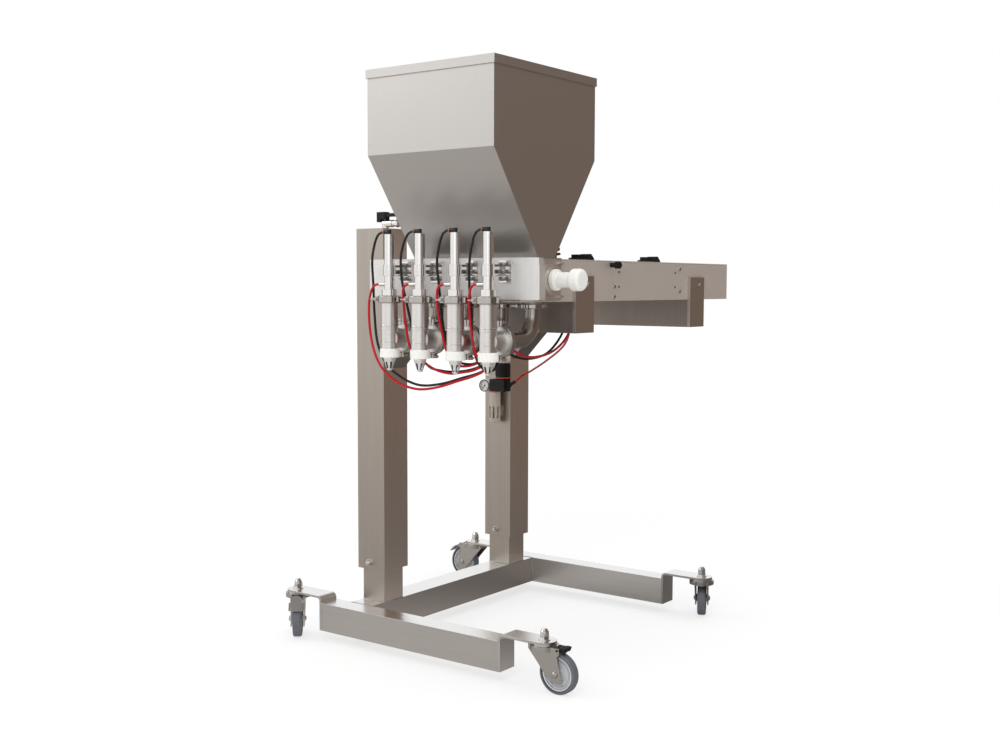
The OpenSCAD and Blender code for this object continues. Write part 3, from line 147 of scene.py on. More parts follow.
class Nodes:
    """A node tree with short calls for making and joining nodes."""

    def __init__(self, tree: bpy.types.NodeTree) -> None:
        """Keep the tree that the nodes go into."""
        self.tree = tree

    def add(self, kind: str, **settings: object) -> Node:
        """Make a node.

        Args:
            kind: Blender's name of the node type.
            settings: Properties to set on the node.

        Returns:
            The new node.
        """
        made = self.tree.nodes.new(kind)
        for name, value in settings.items():
            setattr(made, name, value)
        return made

    def fill(self, kind: str, *values: object, **settings: object) -> Node:
        """Make a node and give its inputs values.

        Args:
            kind: Blender's name of the node type.
            values: Sockets to link, or numbers, vectors or colours to set, in the node's order.
            settings: Properties to set on the node.

        Returns:
            The new node.
        """
        made = self.add(kind, **settings)
        for target, value in zip(made.inputs, values):
            self.put(target, value)
        return made

    def feed(self, node: Node, **values: object) -> Node:
        """Give a node's inputs values by name.

        Args:
            node: Node that takes the values.
            values: Sockets, numbers, vectors or colours by input name, with underscores for spaces.

        Returns:
            The same node.
        """
        for name, value in values.items():
            self.put(node.inputs[name.replace("_", " ")], value)
        return node

    def put(self, target: Socket, value: object) -> None:
        """Link a socket to an input, or set the input to a number, vector or colour.

        Args:
            target: The input.
            value: Socket, number, vector or colour.
        """
        if isinstance(value, Socket):
            self.tree.links.new(value, target)
        else:
            target.default_value = value

    def maths(self, operation: str, *values: object, clamp: bool = False) -> Socket:
        """Add a Math node over sockets or numbers and return its result."""
        return self.fill("ShaderNodeMath", *values, operation=operation, use_clamp=clamp).outputs[0]

    def vector_maths(self, operation: str, *values: object) -> Node:
        """Add a Vector Math node over sockets or vectors and return it."""
        return self.fill("ShaderNodeVectorMath", *values, operation=operation)

    def spread(self, value: Socket, low: float, high: float) -> Socket:
        """Map a 0 to 1 value onto the range from low to high."""
        made = self.add("ShaderNodeMapRange")
        return self.feed(made, Value=value, To_Min=low, To_Max=high).outputs["Result"]

    def ease(self, value: Socket, span: Pair, ends: Pair) -> Socket:
        """Ease from the first end to the second while the value crosses a span.

        Args:
            value: Socket of the value.
            span: Where the change starts and ends.
            ends: The results before and after it.

        Returns:
            The result's socket.
        """
        made = self.add("ShaderNodeMapRange", interpolation_type="SMOOTHSTEP")
        self.feed(made, Value=value, From_Min=span[0], From_Max=span[1], To_Min=ends[0], To_Max=ends[1])
        return made.outputs["Result"]

    def blend(self, factor: object, first: object, second: object, mode: str = "MIX") -> Socket:
        """Mix two colours.

        Args:
            factor: Socket or number that says how much of the second is used.
            first: Socket or colour.
            second: Socket or colour.
            mode: Blend mode.

        Returns:
            The mixed colour's socket.
        """
        made = self.add("ShaderNodeMix", data_type="RGBA", blend_type=mode)
        sockets = {socket.identifier: socket for socket in (*made.inputs, *made.outputs)}
        ends = [end if isinstance(end, Socket) else (*end, 1.0) for end in (first, second)]
        for name, value in zip(("Factor_Float", "A_Color", "B_Color"), (factor, *ends)):
            self.put(sockets[name], value)
        return sockets["Result_Color"]

    def grey(self, value: Socket) -> Socket:
        """Return the colour that has one value in all three channels."""
        return self.fill("ShaderNodeCombineColor", value, value, value).outputs[0]

    def noise(self, vector: Socket, scale: object, detail: float, rough: float = 0.5) -> Socket:
        """Add a noise texture and return its value socket."""
        made = self.add("ShaderNodeTexNoise")
        return self.feed(made, Vector=vector, Scale=scale, Detail=detail, Roughness=rough).outputs["Fac"]

    def position(self, stretch: object = (1.0, 1.0, 1.0)) -> Socket:
        """Return the object coordinates, multiplied by a vector or a vector socket."""
        coords = self.add("ShaderNodeTexCoord")
        return self.vector_maths("MULTIPLY", coords.outputs["Object"], stretch).outputs[0]

    def axis(self, name: str) -> Socket:
        """Return one of the object coordinates by its name, X, Y or Z."""
        return self.fill("ShaderNodeSeparateXYZ", self.position()).outputs[name]

    def relief(self, shader: Node, height: Socket, strength: float, depth: float) -> Node:
        """Bump a shader's surface.

        Args:
            shader: Shader node that takes the bumped normal.
            height: Height of the relief, from 0 to 1.
            strength: How much of it shows.
            depth: Height in metres that 1 stands for.

        Returns:
            The bump node.
        """
        bump = self.feed(self.add("ShaderNodeBump"), Strength=strength, Distance=depth, Height=height)
        self.feed(shader, Normal=bump.outputs["Normal"])
        return bump


def blank(name: str) -> tuple[bpy.types.Material, Nodes]:
    """Make a material without nodes.

    Args:
        name: The material's name.

    Returns:
        The material and its empty node tree.
    """
    made = bpy.data.materials.new(name)
    made.use_nodes = True
    made.node_tree.nodes.clear()
    return made, Nodes(made.node_tree)


class Effect(ABC):
    """A shader node group that several finishes share, built once."""

    title: str = ""
    takes: tuple[tuple[str, str, object], ...] = ()
    gives: tuple[tuple[str, str], ...] = ()

    @classmethod
    def group(cls) -> bpy.types.NodeTree:
        """Build the node group, or return the one already built.

        Returns:
            The group's node tree.
        """
        known = bpy.data.node_groups.get(cls.title)
        if known:
            return known
        tree = bpy.data.node_groups.new(cls.title, "ShaderNodeTree")
        for name, kind, default in cls.takes:
            socket = tree.interface.new_socket(name=name, in_out="INPUT", socket_type=kind)
            socket.default_value = default
        for name, kind in cls.gives:
            tree.interface.new_socket(name=name, in_out="OUTPUT", socket_type=kind)
        nodes = Nodes(tree)
        cls.fill(nodes, nodes.add("NodeGroupInput"), nodes.add("NodeGroupOutput"))
        return tree

    @classmethod
    @abstractmethod
    def fill(cls, nodes: Nodes, source: Node, result: Node) -> None:
        """Put the effect's nodes between the group's inputs and outputs.

        Args:
            nodes: The group's nodes.
            source: Node that gives the group's inputs.
            result: Node that takes its outputs.
        """

    @classmethod
    def use(cls, nodes: Nodes, **values: object) -> Node:
        """Place the group in a material, with its inputs' values by name."""
        return nodes.feed(nodes.add("ShaderNodeGroup", node_tree=cls.group()), **values)


NUMBER = "NodeSocketFloat"
VECTOR = "NodeSocketVector"


class Grain(Effect):
    """Drawn grain of ground metal: long streaks along one direction."""

    title = "DrawnGrain"
    takes = (("Stretch", VECTOR, (400.0, 400.0, 6.0)), ("Strength", NUMBER, 0.5))
    gives = (("Streak", NUMBER), ("Height", NUMBER))

    @classmethod
    def fill(cls, nodes: Nodes, source: Node, result: Node) -> None:
        """Two streak sizes, the finer one also as height.

        Args:
            nodes: The group's nodes.
            source: Node that gives the group's inputs.
            result: Node that takes its outputs.
        """
        where = nodes.position(source.outputs["Stretch"])
        fine = nodes.noise(where, 1.0, 2.0, 0.6)
        broad = nodes.noise(where, 0.22, 2.0)
        both = nodes.maths("MULTIPLY_ADD", fine, 0.6, nodes.maths("MULTIPLY", broad, 0.4))
        centred = nodes.maths("SUBTRACT", both, 0.5)
        streak = nodes.maths("MULTIPLY_ADD", centred, source.outputs["Strength"], 0.5, clamp=True)
        nodes.feed(result, Streak=streak, Height=fine)


class Speckle(Effect):
    """Fine grit of blasted or moulded surfaces, with a soft cloud over it."""

    title = "FineGrit"
    takes = (("Size", NUMBER, 1400.0), ("Cloud Size", NUMBER, 5.0))
    gives = (("Grit", NUMBER), ("Cloud", NUMBER))

    @classmethod
    def fill(cls, nodes: Nodes, source: Node, result: Node) -> None:
        """One fine noise and one slow noise over the object's coordinates.

        Args:
            nodes: The group's nodes.
            source: Node that gives the group's inputs.
            result: Node that takes its outputs.
        """
        where = nodes.position()
        for name, size, detail in (("Grit", "Size", 2.0), ("Cloud", "Cloud Size", 4.0)):
            nodes.put(result.inputs[name], nodes.noise(where, source.outputs[size], detail))


class EdgeRound(Effect):
    """Small rounding of sharp edges, and a mask that shows where they are, where the finishes paint a
    highlight.
    """

    title = "EdgeRound"
    takes = (("Radius", NUMBER, 0.0012),)
    gives = (("Edge", NUMBER), ("Normal", VECTOR))

    @classmethod
    def fill(cls, nodes: Nodes, source: Node, result: Node) -> None:
        """Compare the rounded normal with the true one.

        Args:
            nodes: The group's nodes.
            source: Node that gives the group's inputs.
            result: Node that takes its outputs.
        """
        rounded = nodes.fill("ShaderNodeBevel", source.outputs["Radius"], samples=4).outputs[0]
        true = nodes.add("ShaderNodeNewGeometry").outputs["Normal"]
        along = nodes.vector_maths("DOT_PRODUCT", rounded, true).outputs["Value"]
        away = nodes.maths("SUBTRACT", 1.0, along, clamp=True)
        nodes.feed(result, Edge=nodes.maths("MULTIPLY", away, 4.0, clamp=True), Normal=rounded)


class Handling(Effect):
    """Smears and faint scratches that use leaves on a surface."""

    title = "HandlingMarks"
    takes = (("Amount", NUMBER, 0.5),)
    gives = (("Mark", NUMBER),)

    @classmethod
    def fill(cls, nodes: Nodes, source: Node, result: Node) -> None:
        """Stretch two noises and keep the upper part of their sum.

        Args:
            nodes: The group's nodes.
            source: Node that gives the group's inputs.
            result: Node that takes its outputs.
        """
        where = nodes.position((9.0, 14.0, 7.0))
        smear = nodes.noise(where, 1.0, 5.0, 0.62)
        fine = nodes.noise(where, 13.0, 3.0, 0.6)
        both = nodes.maths("MULTIPLY_ADD", smear, 0.75, nodes.maths("MULTIPLY", fine, 0.25))
        kept = nodes.maths("SUBTRACT", both, 0.5)
        strong = nodes.maths("MULTIPLY", kept, 3.0, clamp=True)
        nodes.feed(result, Mark=nodes.maths("MULTIPLY", strong, source.outputs["Amount"]))


class AxleDistance(Effect):
    """How far a point lies from a wheel's axle, in metres."""

    title = "AxleDistance"
    takes = (("Centre", VECTOR, (0.0, 0.0, 0.0)), ("Axle", VECTOR, (0.0, 1.0, 0.0)))
    gives = (("Distance", NUMBER),)

    @classmethod
    def fill(cls, nodes: Nodes, source: Node, result: Node) -> None:
        """Length of the cross product of the axle and the way from the centre.

        Args:
            nodes: The group's nodes.
            source: Node that gives the group's inputs.
            result: Node that takes its outputs.
        """
        way = nodes.vector_maths("SUBTRACT", nodes.position(), source.outputs["Centre"])
        cross = nodes.vector_maths("CROSS_PRODUCT", way.outputs[0], source.outputs["Axle"])
        nodes.feed(result, Distance=nodes.vector_maths("LENGTH", cross.outputs[0]).outputs["Value"])


# Finishes


@dataclass(frozen=True)
class Finish(ABC):
    """A named surface that can be built as a material."""

    name: str
    tint: Colour

    def tone(self, factor: float, lift: float = 0.0) -> Colour:
        """Return the tint made darker or lighter, held at white."""
        return tuple(min(1.0, channel * factor + lift) for channel in self.tint)

    def material(self) -> bpy.types.Material:
        """Build the material once and return it.

        Returns:
            The material.
        """
        known = bpy.data.materials.get(self.name)
        if known:
            return known
        made, nodes = blank(self.name)
        made.diffuse_color = (*self.tint, 1.0)
        shader = nodes.add("ShaderNodeBsdfPrincipled")
        nodes.fill("ShaderNodeOutputMaterial", shader.outputs[0])
        self.dress(nodes, shader)
        return made

    @abstractmethod
    def dress(self, nodes: Nodes, shader: Node) -> None:
        """Connect the finish's colour, roughness and relief to the shader.

        Args:
            nodes: The material's nodes.
            shader: Its shader node.
        """


@dataclass(frozen=True)
class Steel(Finish):
    """Bare metal sheet, tube or turned part."""

    rough: float
    stretch: Point
    streak: float
    relief: float = 0.12
    metal: float = 1.0
    cloud: float = 0.06
    marks: float = 0.3
    turned: float = 0.0

    GRAIN_TONES = (0.80, 1.16)
    CLOUD_TONE = 0.72
    CLOUD_SIZE = 4.0
    # Painted highlight: edges are lightened by this tone and amount.
    EDGE_TONE = 1.35
    EDGE_LIGHT = 0.25
    EDGE_RADIUS = 0.0012
    ROUGH_BELOW = 0.05
    ROUGH_ABOVE = 0.06
    MARK_ROUGH = 0.16
    RING_WOBBLE = 0.6
    RING_HEIGHT = 0.7
    DEPTH = 0.0004

    def dress(self, nodes: Nodes, shader: Node) -> None:
        """Grain in colour and roughness, cloudiness, handling marks, and edges made lighter as a painted
        highlight.

        Args:
            nodes: The material's nodes.
            shader: Its shader node.
        """
        grain = Grain.use(nodes, Stretch=self.stretch, Strength=self.streak)
        cloud = Speckle.use(nodes, Cloud_Size=self.CLOUD_SIZE).outputs["Cloud"]
        handled = Handling.use(nodes, Amount=self.marks)
        edge = EdgeRound.use(nodes, Radius=self.EDGE_RADIUS)
        grained = nodes.blend(grain.outputs["Streak"], *(self.tone(tone) for tone in self.GRAIN_TONES))
        clouded = nodes.blend(nodes.spread(cloud, 0.0, self.cloud * 2.0), grained, self.tone(self.CLOUD_TONE))
        # Painted highlight along the edges.
        lit = nodes.maths("MULTIPLY", edge.outputs["Edge"], self.EDGE_LIGHT)
        colour = nodes.blend(lit, clouded, self.tone(self.EDGE_TONE))
        low, high = self.rough - self.ROUGH_BELOW, self.rough + self.ROUGH_ABOVE
        wavy = nodes.spread(grain.outputs["Streak"], low, high)
        worn = nodes.maths("MULTIPLY_ADD", handled.outputs["Mark"], self.MARK_ROUGH, wavy, clamp=True)
        nodes.feed(shader, Metallic=self.metal, Base_Color=colour, Roughness=worn)
        height = grain.outputs["Height"]
        if self.turned > 0.0:
            rings = nodes.add("ShaderNodeTexWave", wave_type="BANDS", bands_direction="Z")
            nodes.feed(rings, Vector=nodes.position(), Scale=self.turned, Distortion=self.RING_WOBBLE)
            height = nodes.maths("MULTIPLY_ADD", rings.outputs["Fac"], self.RING_HEIGHT, height)
        bump = nodes.relief(shader, height, self.relief, self.DEPTH)
        nodes.feed(bump, Normal=edge.outputs["Normal"])


@dataclass(frozen=True)
class Moulded(Finish):
    """Moulded or turned plastic and rubber."""

    rough: float
    relief: float
    coat: float = 0.0
    shade: float = 0.85
    marks: float = 0.3
    # How much the edges are paled as a painted highlight.
    edge_light: float = 0.2
    specular: float = 0.5

    GRIT_SIZE = 1600.0
    CLOUD_SIZE = 18.0
    COAT_ROUGH = 0.12
    EDGE_RADIUS = 0.0008
    EDGE_TONE = 1.25
    EDGE_LIFT = 0.03
    ROUGH_SPREAD = 0.05
    MARK_ROUGH = 0.15
    DEPTH = 0.0003

    def gloss(self, nodes: Nodes, grit: Node) -> Socket:
        """Roughness that the grit varies by a little to both sides."""
        low, high = self.rough - self.ROUGH_SPREAD, self.rough + self.ROUGH_SPREAD
        return nodes.spread(grit.outputs["Grit"], low, high)

    def dress(self, nodes: Nodes, shader: Node) -> None:
        """Fine grit, slow colour change, marks in the gloss, and edges made paler as a painted highlight.

        Args:
            nodes: The material's nodes.
            shader: Its shader node.
        """
        nodes.feed(shader, Coat_Weight=self.coat, Coat_Roughness=self.COAT_ROUGH)
        nodes.feed(shader, Specular_IOR_Level=self.specular)
        grit = Speckle.use(nodes, Size=self.GRIT_SIZE, Cloud_Size=self.CLOUD_SIZE)
        handled = Handling.use(nodes, Amount=self.marks)
        edge = EdgeRound.use(nodes, Radius=self.EDGE_RADIUS)
        base = nodes.blend(grit.outputs["Cloud"], self.tone(self.shade), self.tint)
        # Painted highlight along the edges.
        pale = self.tone(self.EDGE_TONE, self.EDGE_LIFT)
        lit = nodes.maths("MULTIPLY", edge.outputs["Edge"], self.edge_light)
        gloss = self.gloss(nodes, grit)
        worn = nodes.maths("MULTIPLY_ADD", handled.outputs["Mark"], self.MARK_ROUGH, gloss, clamp=True)
        nodes.feed(shader, Base_Color=nodes.blend(lit, base, pale), Roughness=worn)
        bump = nodes.relief(shader, grit.outputs["Grit"], self.relief, self.DEPTH)
        nodes.feed(bump, Normal=edge.outputs["Normal"])


@dataclass(frozen=True)
class WheelRings(Moulded):
    """Moulded wheel: pale hub with grooves, white rim ring and a grey tyre, by distance from the axle."""

    centre: Point = (0.0, 0.0, 0.0)
    axle: Point = (0.0, 1.0, 0.0)
    reach: float = 0.05
    dust: float = 0.35
    # The thin dark bands are painted shade in the wheel's grooves.
    bands: Sequence[tuple[float, Colour]] = (
        (0.0, (0.42, 0.42, 0.43)),
        (0.0125, (0.60, 0.62, 0.65)),
        (0.0305, (0.20, 0.21, 0.24)),
        (0.0320, (0.66, 0.68, 0.71)),
        (0.0360, (0.12, 0.13, 0.15)),
        (0.0375, (0.74, 0.75, 0.77)),
        (0.0413, (0.035, 0.038, 0.046)),
        (0.0430, (0.14, 0.15, 0.175)),
    )

    CLOUD_SIZE = 30.0
    CLOUD_TONES = (0.78, 1.12)
    DUST = (0.34, 0.33, 0.32)
    ROUGH_SPREAD = 0.06

    def dress(self, nodes: Nodes, shader: Node) -> None:
        """Bands of colour by radius, with grit, and dust where the handling marks are.

        Args:
            nodes: The material's nodes.
            shader: Its shader node.
        """
        away = AxleDistance.use(nodes, Centre=self.centre, Axle=self.axle)
        ramp = nodes.add("ShaderNodeValToRGB")
        ramp.color_ramp.interpolation = "CONSTANT"
        marks = ramp.color_ramp.elements
        while len(marks) < len(self.bands):
            marks.new(1.0)
        for mark, (radius, colour) in zip(marks, self.bands):
            mark.position = radius / self.reach
            mark.color = (*colour, 1.0)
        nodes.feed(ramp, Fac=nodes.maths("DIVIDE", away.outputs["Distance"], self.reach))
        grit = Speckle.use(nodes, Size=self.GRIT_SIZE, Cloud_Size=self.CLOUD_SIZE)
        handled = Handling.use(nodes, Amount=self.marks)
        shade = nodes.grey(nodes.spread(grit.outputs["Cloud"], *self.CLOUD_TONES))
        base = nodes.blend(1.0, ramp.outputs["Color"], shade, "MULTIPLY")
        dusty = nodes.blend(nodes.maths("MULTIPLY", handled.outputs["Mark"], self.dust), base, self.DUST)
        nodes.feed(shader, Base_Color=dusty, Roughness=self.gloss(nodes, grit))
        nodes.relief(shader, grit.outputs["Grit"], self.relief, self.DEPTH)


def even(scale: float) -> Point:
    """Return a grain without direction."""
    return (scale, scale, scale)


LEG_GRAIN = (8.0, 900.0, 900.0)
CROSS_GRAIN = (900.0, 8.0, 900.0)
COLUMN_GRAIN = (900.0, 900.0, 6.0)
ARM_GRAIN = (700.0, 700.0, 9.0)
TURNED_GRAIN = (60.0, 60.0, 900.0)

# Steel takes name, tint, roughness, grain, streak and relief; Moulded name, tint, roughness and relief
COLUMN_STEEL = Steel("column_steel", (0.46, 0.415, 0.37), 0.34, COLUMN_GRAIN, 1.1)
# Lighter copy of the column steel for the columns' side faces: painted light on that side.
COLUMN_SIDE_LIT = replace(COLUMN_STEEL, name="column_side_lit_steel", tint=(0.72, 0.635, 0.575), rough=0.36)
LEG_STEEL = Steel("leg_steel", (0.62, 0.595, 0.57), 0.31, LEG_GRAIN, 0.9, 0.10, cloud=0.12)
# Darker copy of the leg steel for the legs' end faces: painted shade on those faces.
LEG_END_SHADE = replace(
    LEG_STEEL, name="leg_end_shaded_steel", tint=(0.37, 0.35, 0.33), stretch=(900.0, 900.0, 12.0), cloud=0.06
)
# Lighter copy for the far leg's front faces: painted light on that face.
FAR_LEG_FRONT_LIT = replace(LEG_STEEL, name="far_leg_front_lit_steel", tint=(0.90, 0.87, 0.84))
# Near white steel for faces that look up: painted light on the tops of the legs and the caster brackets.
LEG_TOP_LIT = Steel("leg_top_lit_steel", (0.95, 0.95, 0.945), 0.26, LEG_GRAIN, 0.6, 0.08)
CROSS_STEEL = replace(
    LEG_STEEL, name="crossbar_steel", tint=(0.50, 0.46, 0.43), stretch=CROSS_GRAIN, cloud=0.06
)
# Lighter copy for the crossbar's top: painted light.
CROSS_TOP_LIT = replace(LEG_TOP_LIT, name="crossbar_top_lit_steel", tint=(0.93, 0.93, 0.925), stretch=CROSS_GRAIN)
BRACKET_STEEL = Steel("bracket_steel", (0.66, 0.63, 0.60), 0.28, (10.0, 700.0, 700.0), 0.6, 0.08)
ARM_STEEL = Steel("arm_steel", (0.34, 0.305, 0.28), 0.36, ARM_GRAIN, 1.2)
PLATE_STEEL = Steel("arm_plate_steel", (0.58, 0.525, 0.485), 0.34, ARM_GRAIN, 0.8, 0.10)
HOUSING_SHEET = Steel(
    "housing_sheet", (0.90, 0.825, 0.775), 0.52, even(700.0), 0.35, 0.06, metal=0.72, cloud=0.1
)
HOPPER_SHEET = Steel(
    "hopper_sheet", (0.60, 0.578, 0.555), 0.42, even(650.0), 0.3, 0.05, cloud=0.05, marks=0.2
)
FLANGE_STEEL = Steel("flange_steel", (0.70, 0.64, 0.60), 0.40, even(700.0), 0.4, 0.06, metal=0.85, cloud=0.1)
RAIL_METAL = Steel("rail_metal", (0.82, 0.815, 0.80), 0.45, (1300.0, 1300.0, 10.0), 0.9, 0.2, metal=0.75)
VALVE_METAL = Steel("valve_metal", (0.78, 0.77, 0.75), 0.40, (900.0, 20.0, 900.0), 0.6)
PIPE_STEEL = Steel("pipe_steel", (0.43, 0.395, 0.36), 0.2, even(300.0), 0.3, 0.05)
TIP_STEEL = replace(PIPE_STEEL, name="tip_steel", tint=(0.93, 0.93, 0.92), rough=0.28, metal=0.7)
SLOT_SHADE = replace(PIPE_STEEL, name="slot_shade", tint=(0.22, 0.21, 0.20), rough=0.40)
# Darker copy for the faces of the rail screws that don't look up: painted shade.
SCREW_SHADE_STEEL = replace(PIPE_STEEL, name="screw_shaded_steel", tint=(0.34, 0.32, 0.30), stretch=even(400.0))
BRIGHT = replace(SCREW_SHADE_STEEL, name="bright_steel", tint=(0.80, 0.785, 0.77), rough=0.11, marks=0.2)
CLAMP_STEEL = Steel("clamp_steel", (0.50, 0.475, 0.45), 0.13, even(300.0), 0.4, 0.06)
NOZZLE_STEEL = Steel("nozzle_steel", (0.82, 0.805, 0.785), 0.33, TURNED_GRAIN, 0.5, turned=260.0)
AIR_CYLINDER_STEEL = Steel(
    "air_cylinder_steel", (0.86, 0.845, 0.83), 0.15, TURNED_GRAIN, 0.12, 0.02, marks=0.1
)
ZINC = Steel("zinc_plate", (0.56, 0.53, 0.50), 0.30, even(120.0), 0.8, 0.10, cloud=0.25)
WELD = Steel("weld_bead", (0.50, 0.475, 0.45), 0.34, even(260.0), 0.8, 0.5, cloud=0.2)
WHITE_PLASTIC = Moulded("white_plastic", (0.61, 0.61, 0.605), 0.38, 0.05, shade=0.97)
BLACK_PLASTIC = Moulded(
    "black_plastic", (0.007, 0.007, 0.008), 0.42, 0.2, shade=0.8, edge_light=0.12, specular=0.22
)
# Near black for the insides of screw sockets and the side pins' holes: painted shade.
BORE_SHADE = Moulded("bore_painted_shade", (0.035, 0.032, 0.030), 0.6, 0.1, shade=0.8)
GUARD_PLASTIC = Moulded("bowl_guard", (0.56, 0.50, 0.42), 0.34, 0.06, coat=0.3, shade=0.93)
MOTOR_PAINT = Moulded("motor_paint", (0.085, 0.09, 0.10), 0.45, 0.2)
FITTING_RING = Moulded("release_ring", (0.74, 0.16, 0.03), 0.32, 0.05, coat=0.3, shade=0.9)
FITTING_BLACK = Moulded("fitting_black", (0.012, 0.012, 0.014), 0.3, 0.05, coat=0.1, specular=0.3)
LOCK_RED = Moulded("lock_ring_red", (0.60, 0.085, 0.045), 0.35, 0.05, coat=0.2, shade=0.9)
RED_HOSE = Moulded("red_hose", (0.40, 0.003, 0.012), 0.26, 0.03, coat=0.2, shade=0.80, specular=0.35)
BLACK_HOSE = Moulded("black_hose", (0.007, 0.007, 0.008), 0.3, 0.03, coat=0.15, shade=0.9, specular=0.3)
DIAL_WHITE = Moulded("dial_white", (0.84, 0.84, 0.83), 0.3, 0.02, coat=0.5, shade=0.98)

WORN_BY: tuple[tuple[Finish, str], ...] = (
    (LEG_STEEL, "near_leg far_leg"),
    (CROSS_STEEL, "crossbar"),
    (COLUMN_STEEL, "column_tubes column_sleeves"),
    (BRACKET_STEEL, "caster_brackets"),
    (ARM_STEEL, "support_arms"),
    (HOUSING_SHEET, "housing_tray housing_lid"),
    (HOPPER_SHEET, "hopper"),
    (RAIL_METAL, "rail_plate"),
    (VALVE_METAL, "valve_body crosshead drive_cylinder"),
    (FLANGE_STEEL, "valve_flange"),
    (PIPE_STEEL, "elbows product_cylinders"),
    (CLAMP_STEEL, "pipe_clamps"),
    (NOZZLE_STEEL, "nozzle_bodies"),
    (TIP_STEEL, "star_tips"),
    (AIR_CYLINDER_STEEL, "air_cylinders"),
    (BRIGHT, "caster_stems housing_screws rail_hardware tube_fittings shutoff_valve"),
    (BRIGHT, "plunger_1 plunger_2 plunger_3 plunger_4"),
    (WHITE_PLASTIC, "sleeve_glides valve_spool pistons nozzle_collars"),
    (BLACK_PLASTIC, "near_lid_latch far_lid_latch index_plunger hopper_latch shutoff_lever"),
    (BLACK_PLASTIC, "tube_manifold regulator_body regulator_knob gauge_needle"),
    (GUARD_PLASTIC, "filter_bowl"),
    (MOTOR_PAINT, "valve_actuator"),
    (DIAL_WHITE, "pressure_gauge"),
)
NODE_FINISH: dict[str, Finish] = {node: finish for finish, nodes in WORN_BY for node in nodes.split()}


@dataclass(frozen=True)
class Patch:
    """A finish for those faces of a node whose middle and normal pass a test."""

    finish: Finish
    covers: Callable[[Vector, Vector], bool]


def within(value: float, span: Pair) -> bool:
    """Whether a value lies inside a span."""
    return span[0] < value < span[1]


def nearest_nozzle(x: float, shift: float = 0.0) -> float:
    """Return the X of the nozzle whose axis, moved by a shift, is nearest."""
    return min(NOZZLE_XS, key=lambda axis: abs(x - axis - shift))


def on_top(middle: Vector, normal: Vector) -> bool:
    """Whether a face looks up."""
    return normal.z > SQUARE_ON


def on_level(normal: Vector) -> bool:
    """Whether a face looks straight up or down."""
    return abs(normal.z) >= SQUARE_ON


def on_side(middle: Vector, normal: Vector) -> bool:
    """Whether a face looks along the hopper's length."""
    return abs(normal.x) > SQUARE_ON


def on_front(middle: Vector, normal: Vector) -> bool:
    """Whether a face looks to the nozzles' side."""
    return normal.y < -SQUARE_ON


def on_arm_plate(middle: Vector, normal: Vector) -> bool:
    """Whether a face belongs to the upright plate at an arm's end."""
    return middle.x > ARM_PLATE_X


def on_side_pin(middle: Vector, normal: Vector) -> bool:
    """Whether a face belongs to one of the small pins in the housing's side."""
    return middle.x > SIDE_PIN_X and any(abs(middle.y - y) < SIDE_PIN_REACH for y in SIDE_PIN_YS)


def on_black_fitting(middle: Vector, normal: Vector) -> bool:
    """Whether a face belongs to a fitting above or below the nozzles' lower row."""
    return middle.z > UPPER_FITTING_Z or middle.z < LOWER_FITTING_Z


def on_fitting_ring(middle: Vector, normal: Vector) -> bool:
    """Whether a face belongs to the release ring at a fitting's tube end."""
    shift = UPPER_RING_SHIFT if middle.z > UPPER_FITTING_Z else LOWER_RING_SHIFT
    return middle.z > LOWER_FITTING_Z and any(within(middle.x - (x - shift), RING_SPAN) for x in NOZZLE_XS)


def on_rail_screw(middle: Vector, normal: Vector) -> bool:
    """Whether a face belongs to one of the rail's screws and isn't lit from above; such faces get painted
    shade.
    """
    past = middle.x - nearest_nozzle(middle.x, SCREW_SHIFT) > -SCREW_SLACK
    return past and within(middle.y, SCREW_YS) and normal.z < LIT_FROM_ABOVE


def in_tip_slot(middle: Vector, normal: Vector) -> bool:
    """Whether a face lies in a star tip's bore or slots."""
    out = Vector((middle.x - nearest_nozzle(middle.x), middle.y - NOZZLE_Y, 0.0))
    return out.length > TIP_AXIS_REACH and normal.dot(out.normalized()) < FACING_OUT and not on_level(normal)


# Several patches paint light or shade by the way a face looks or sits: lit tops, lit column sides, a lit far
# leg front, shaded leg ends, rail screw faces, tip slots and pin holes.
PATCHES: dict[str, tuple[Patch, ...]] = {
    # Painted shade on the rail screws' faces that don't look up.
    "rail_hardware": (Patch(SCREW_SHADE_STEEL, on_rail_screw),),
    "star_tips": (Patch(SLOT_SHADE, in_tip_slot),),
    "near_leg": (Patch(LEG_TOP_LIT, on_top), Patch(LEG_END_SHADE, on_side)),
    "far_leg": (Patch(LEG_TOP_LIT, on_top), Patch(LEG_END_SHADE, on_side), Patch(FAR_LEG_FRONT_LIT, on_front)),
    "crossbar": (Patch(CROSS_TOP_LIT, on_top),),
    "caster_brackets": (Patch(LEG_TOP_LIT, on_top),),
    "column_sleeves": (Patch(COLUMN_SIDE_LIT, on_side),),
    "column_tubes": (Patch(COLUMN_SIDE_LIT, on_side),),
    "support_arms": (Patch(PLATE_STEEL, on_arm_plate),),
    "tube_fittings": (Patch(FITTING_RING, on_fitting_ring), Patch(FITTING_BLACK, on_black_fitting)),
    # The faces of the small pins in the housing's side get painted shade, as holes.
    "housing_screws": (Patch(BORE_SHADE, on_side_pin),),
}


def wear(piece: Piece, finish: Finish, patches: Sequence[Patch] = ()) -> None:
    """Put one finish on a piece, and others on the faces that their patches cover.

    Args:
        piece: Object to dress.
        finish: Finish of every face that no patch covers.
        patches: Finishes for some of the faces; the first that covers a face counts.
    """
    mesh = piece.data
    mesh.materials.clear()
    for worn in (finish, *(patch.finish for patch in patches)):
        mesh.materials.append(worn.material())
    if not patches:
        return
    for face in mesh.polygons:
        x, y, z = face.center
        middle = Vector((x / MM + ORIGIN[0], y / MM + ORIGIN[1], z / MM))
        covered = (i + 1 for i, patch in enumerate(patches) if patch.covers(middle, face.normal))
        face.material_index = next(covered, 0)


# Sub-assemblies


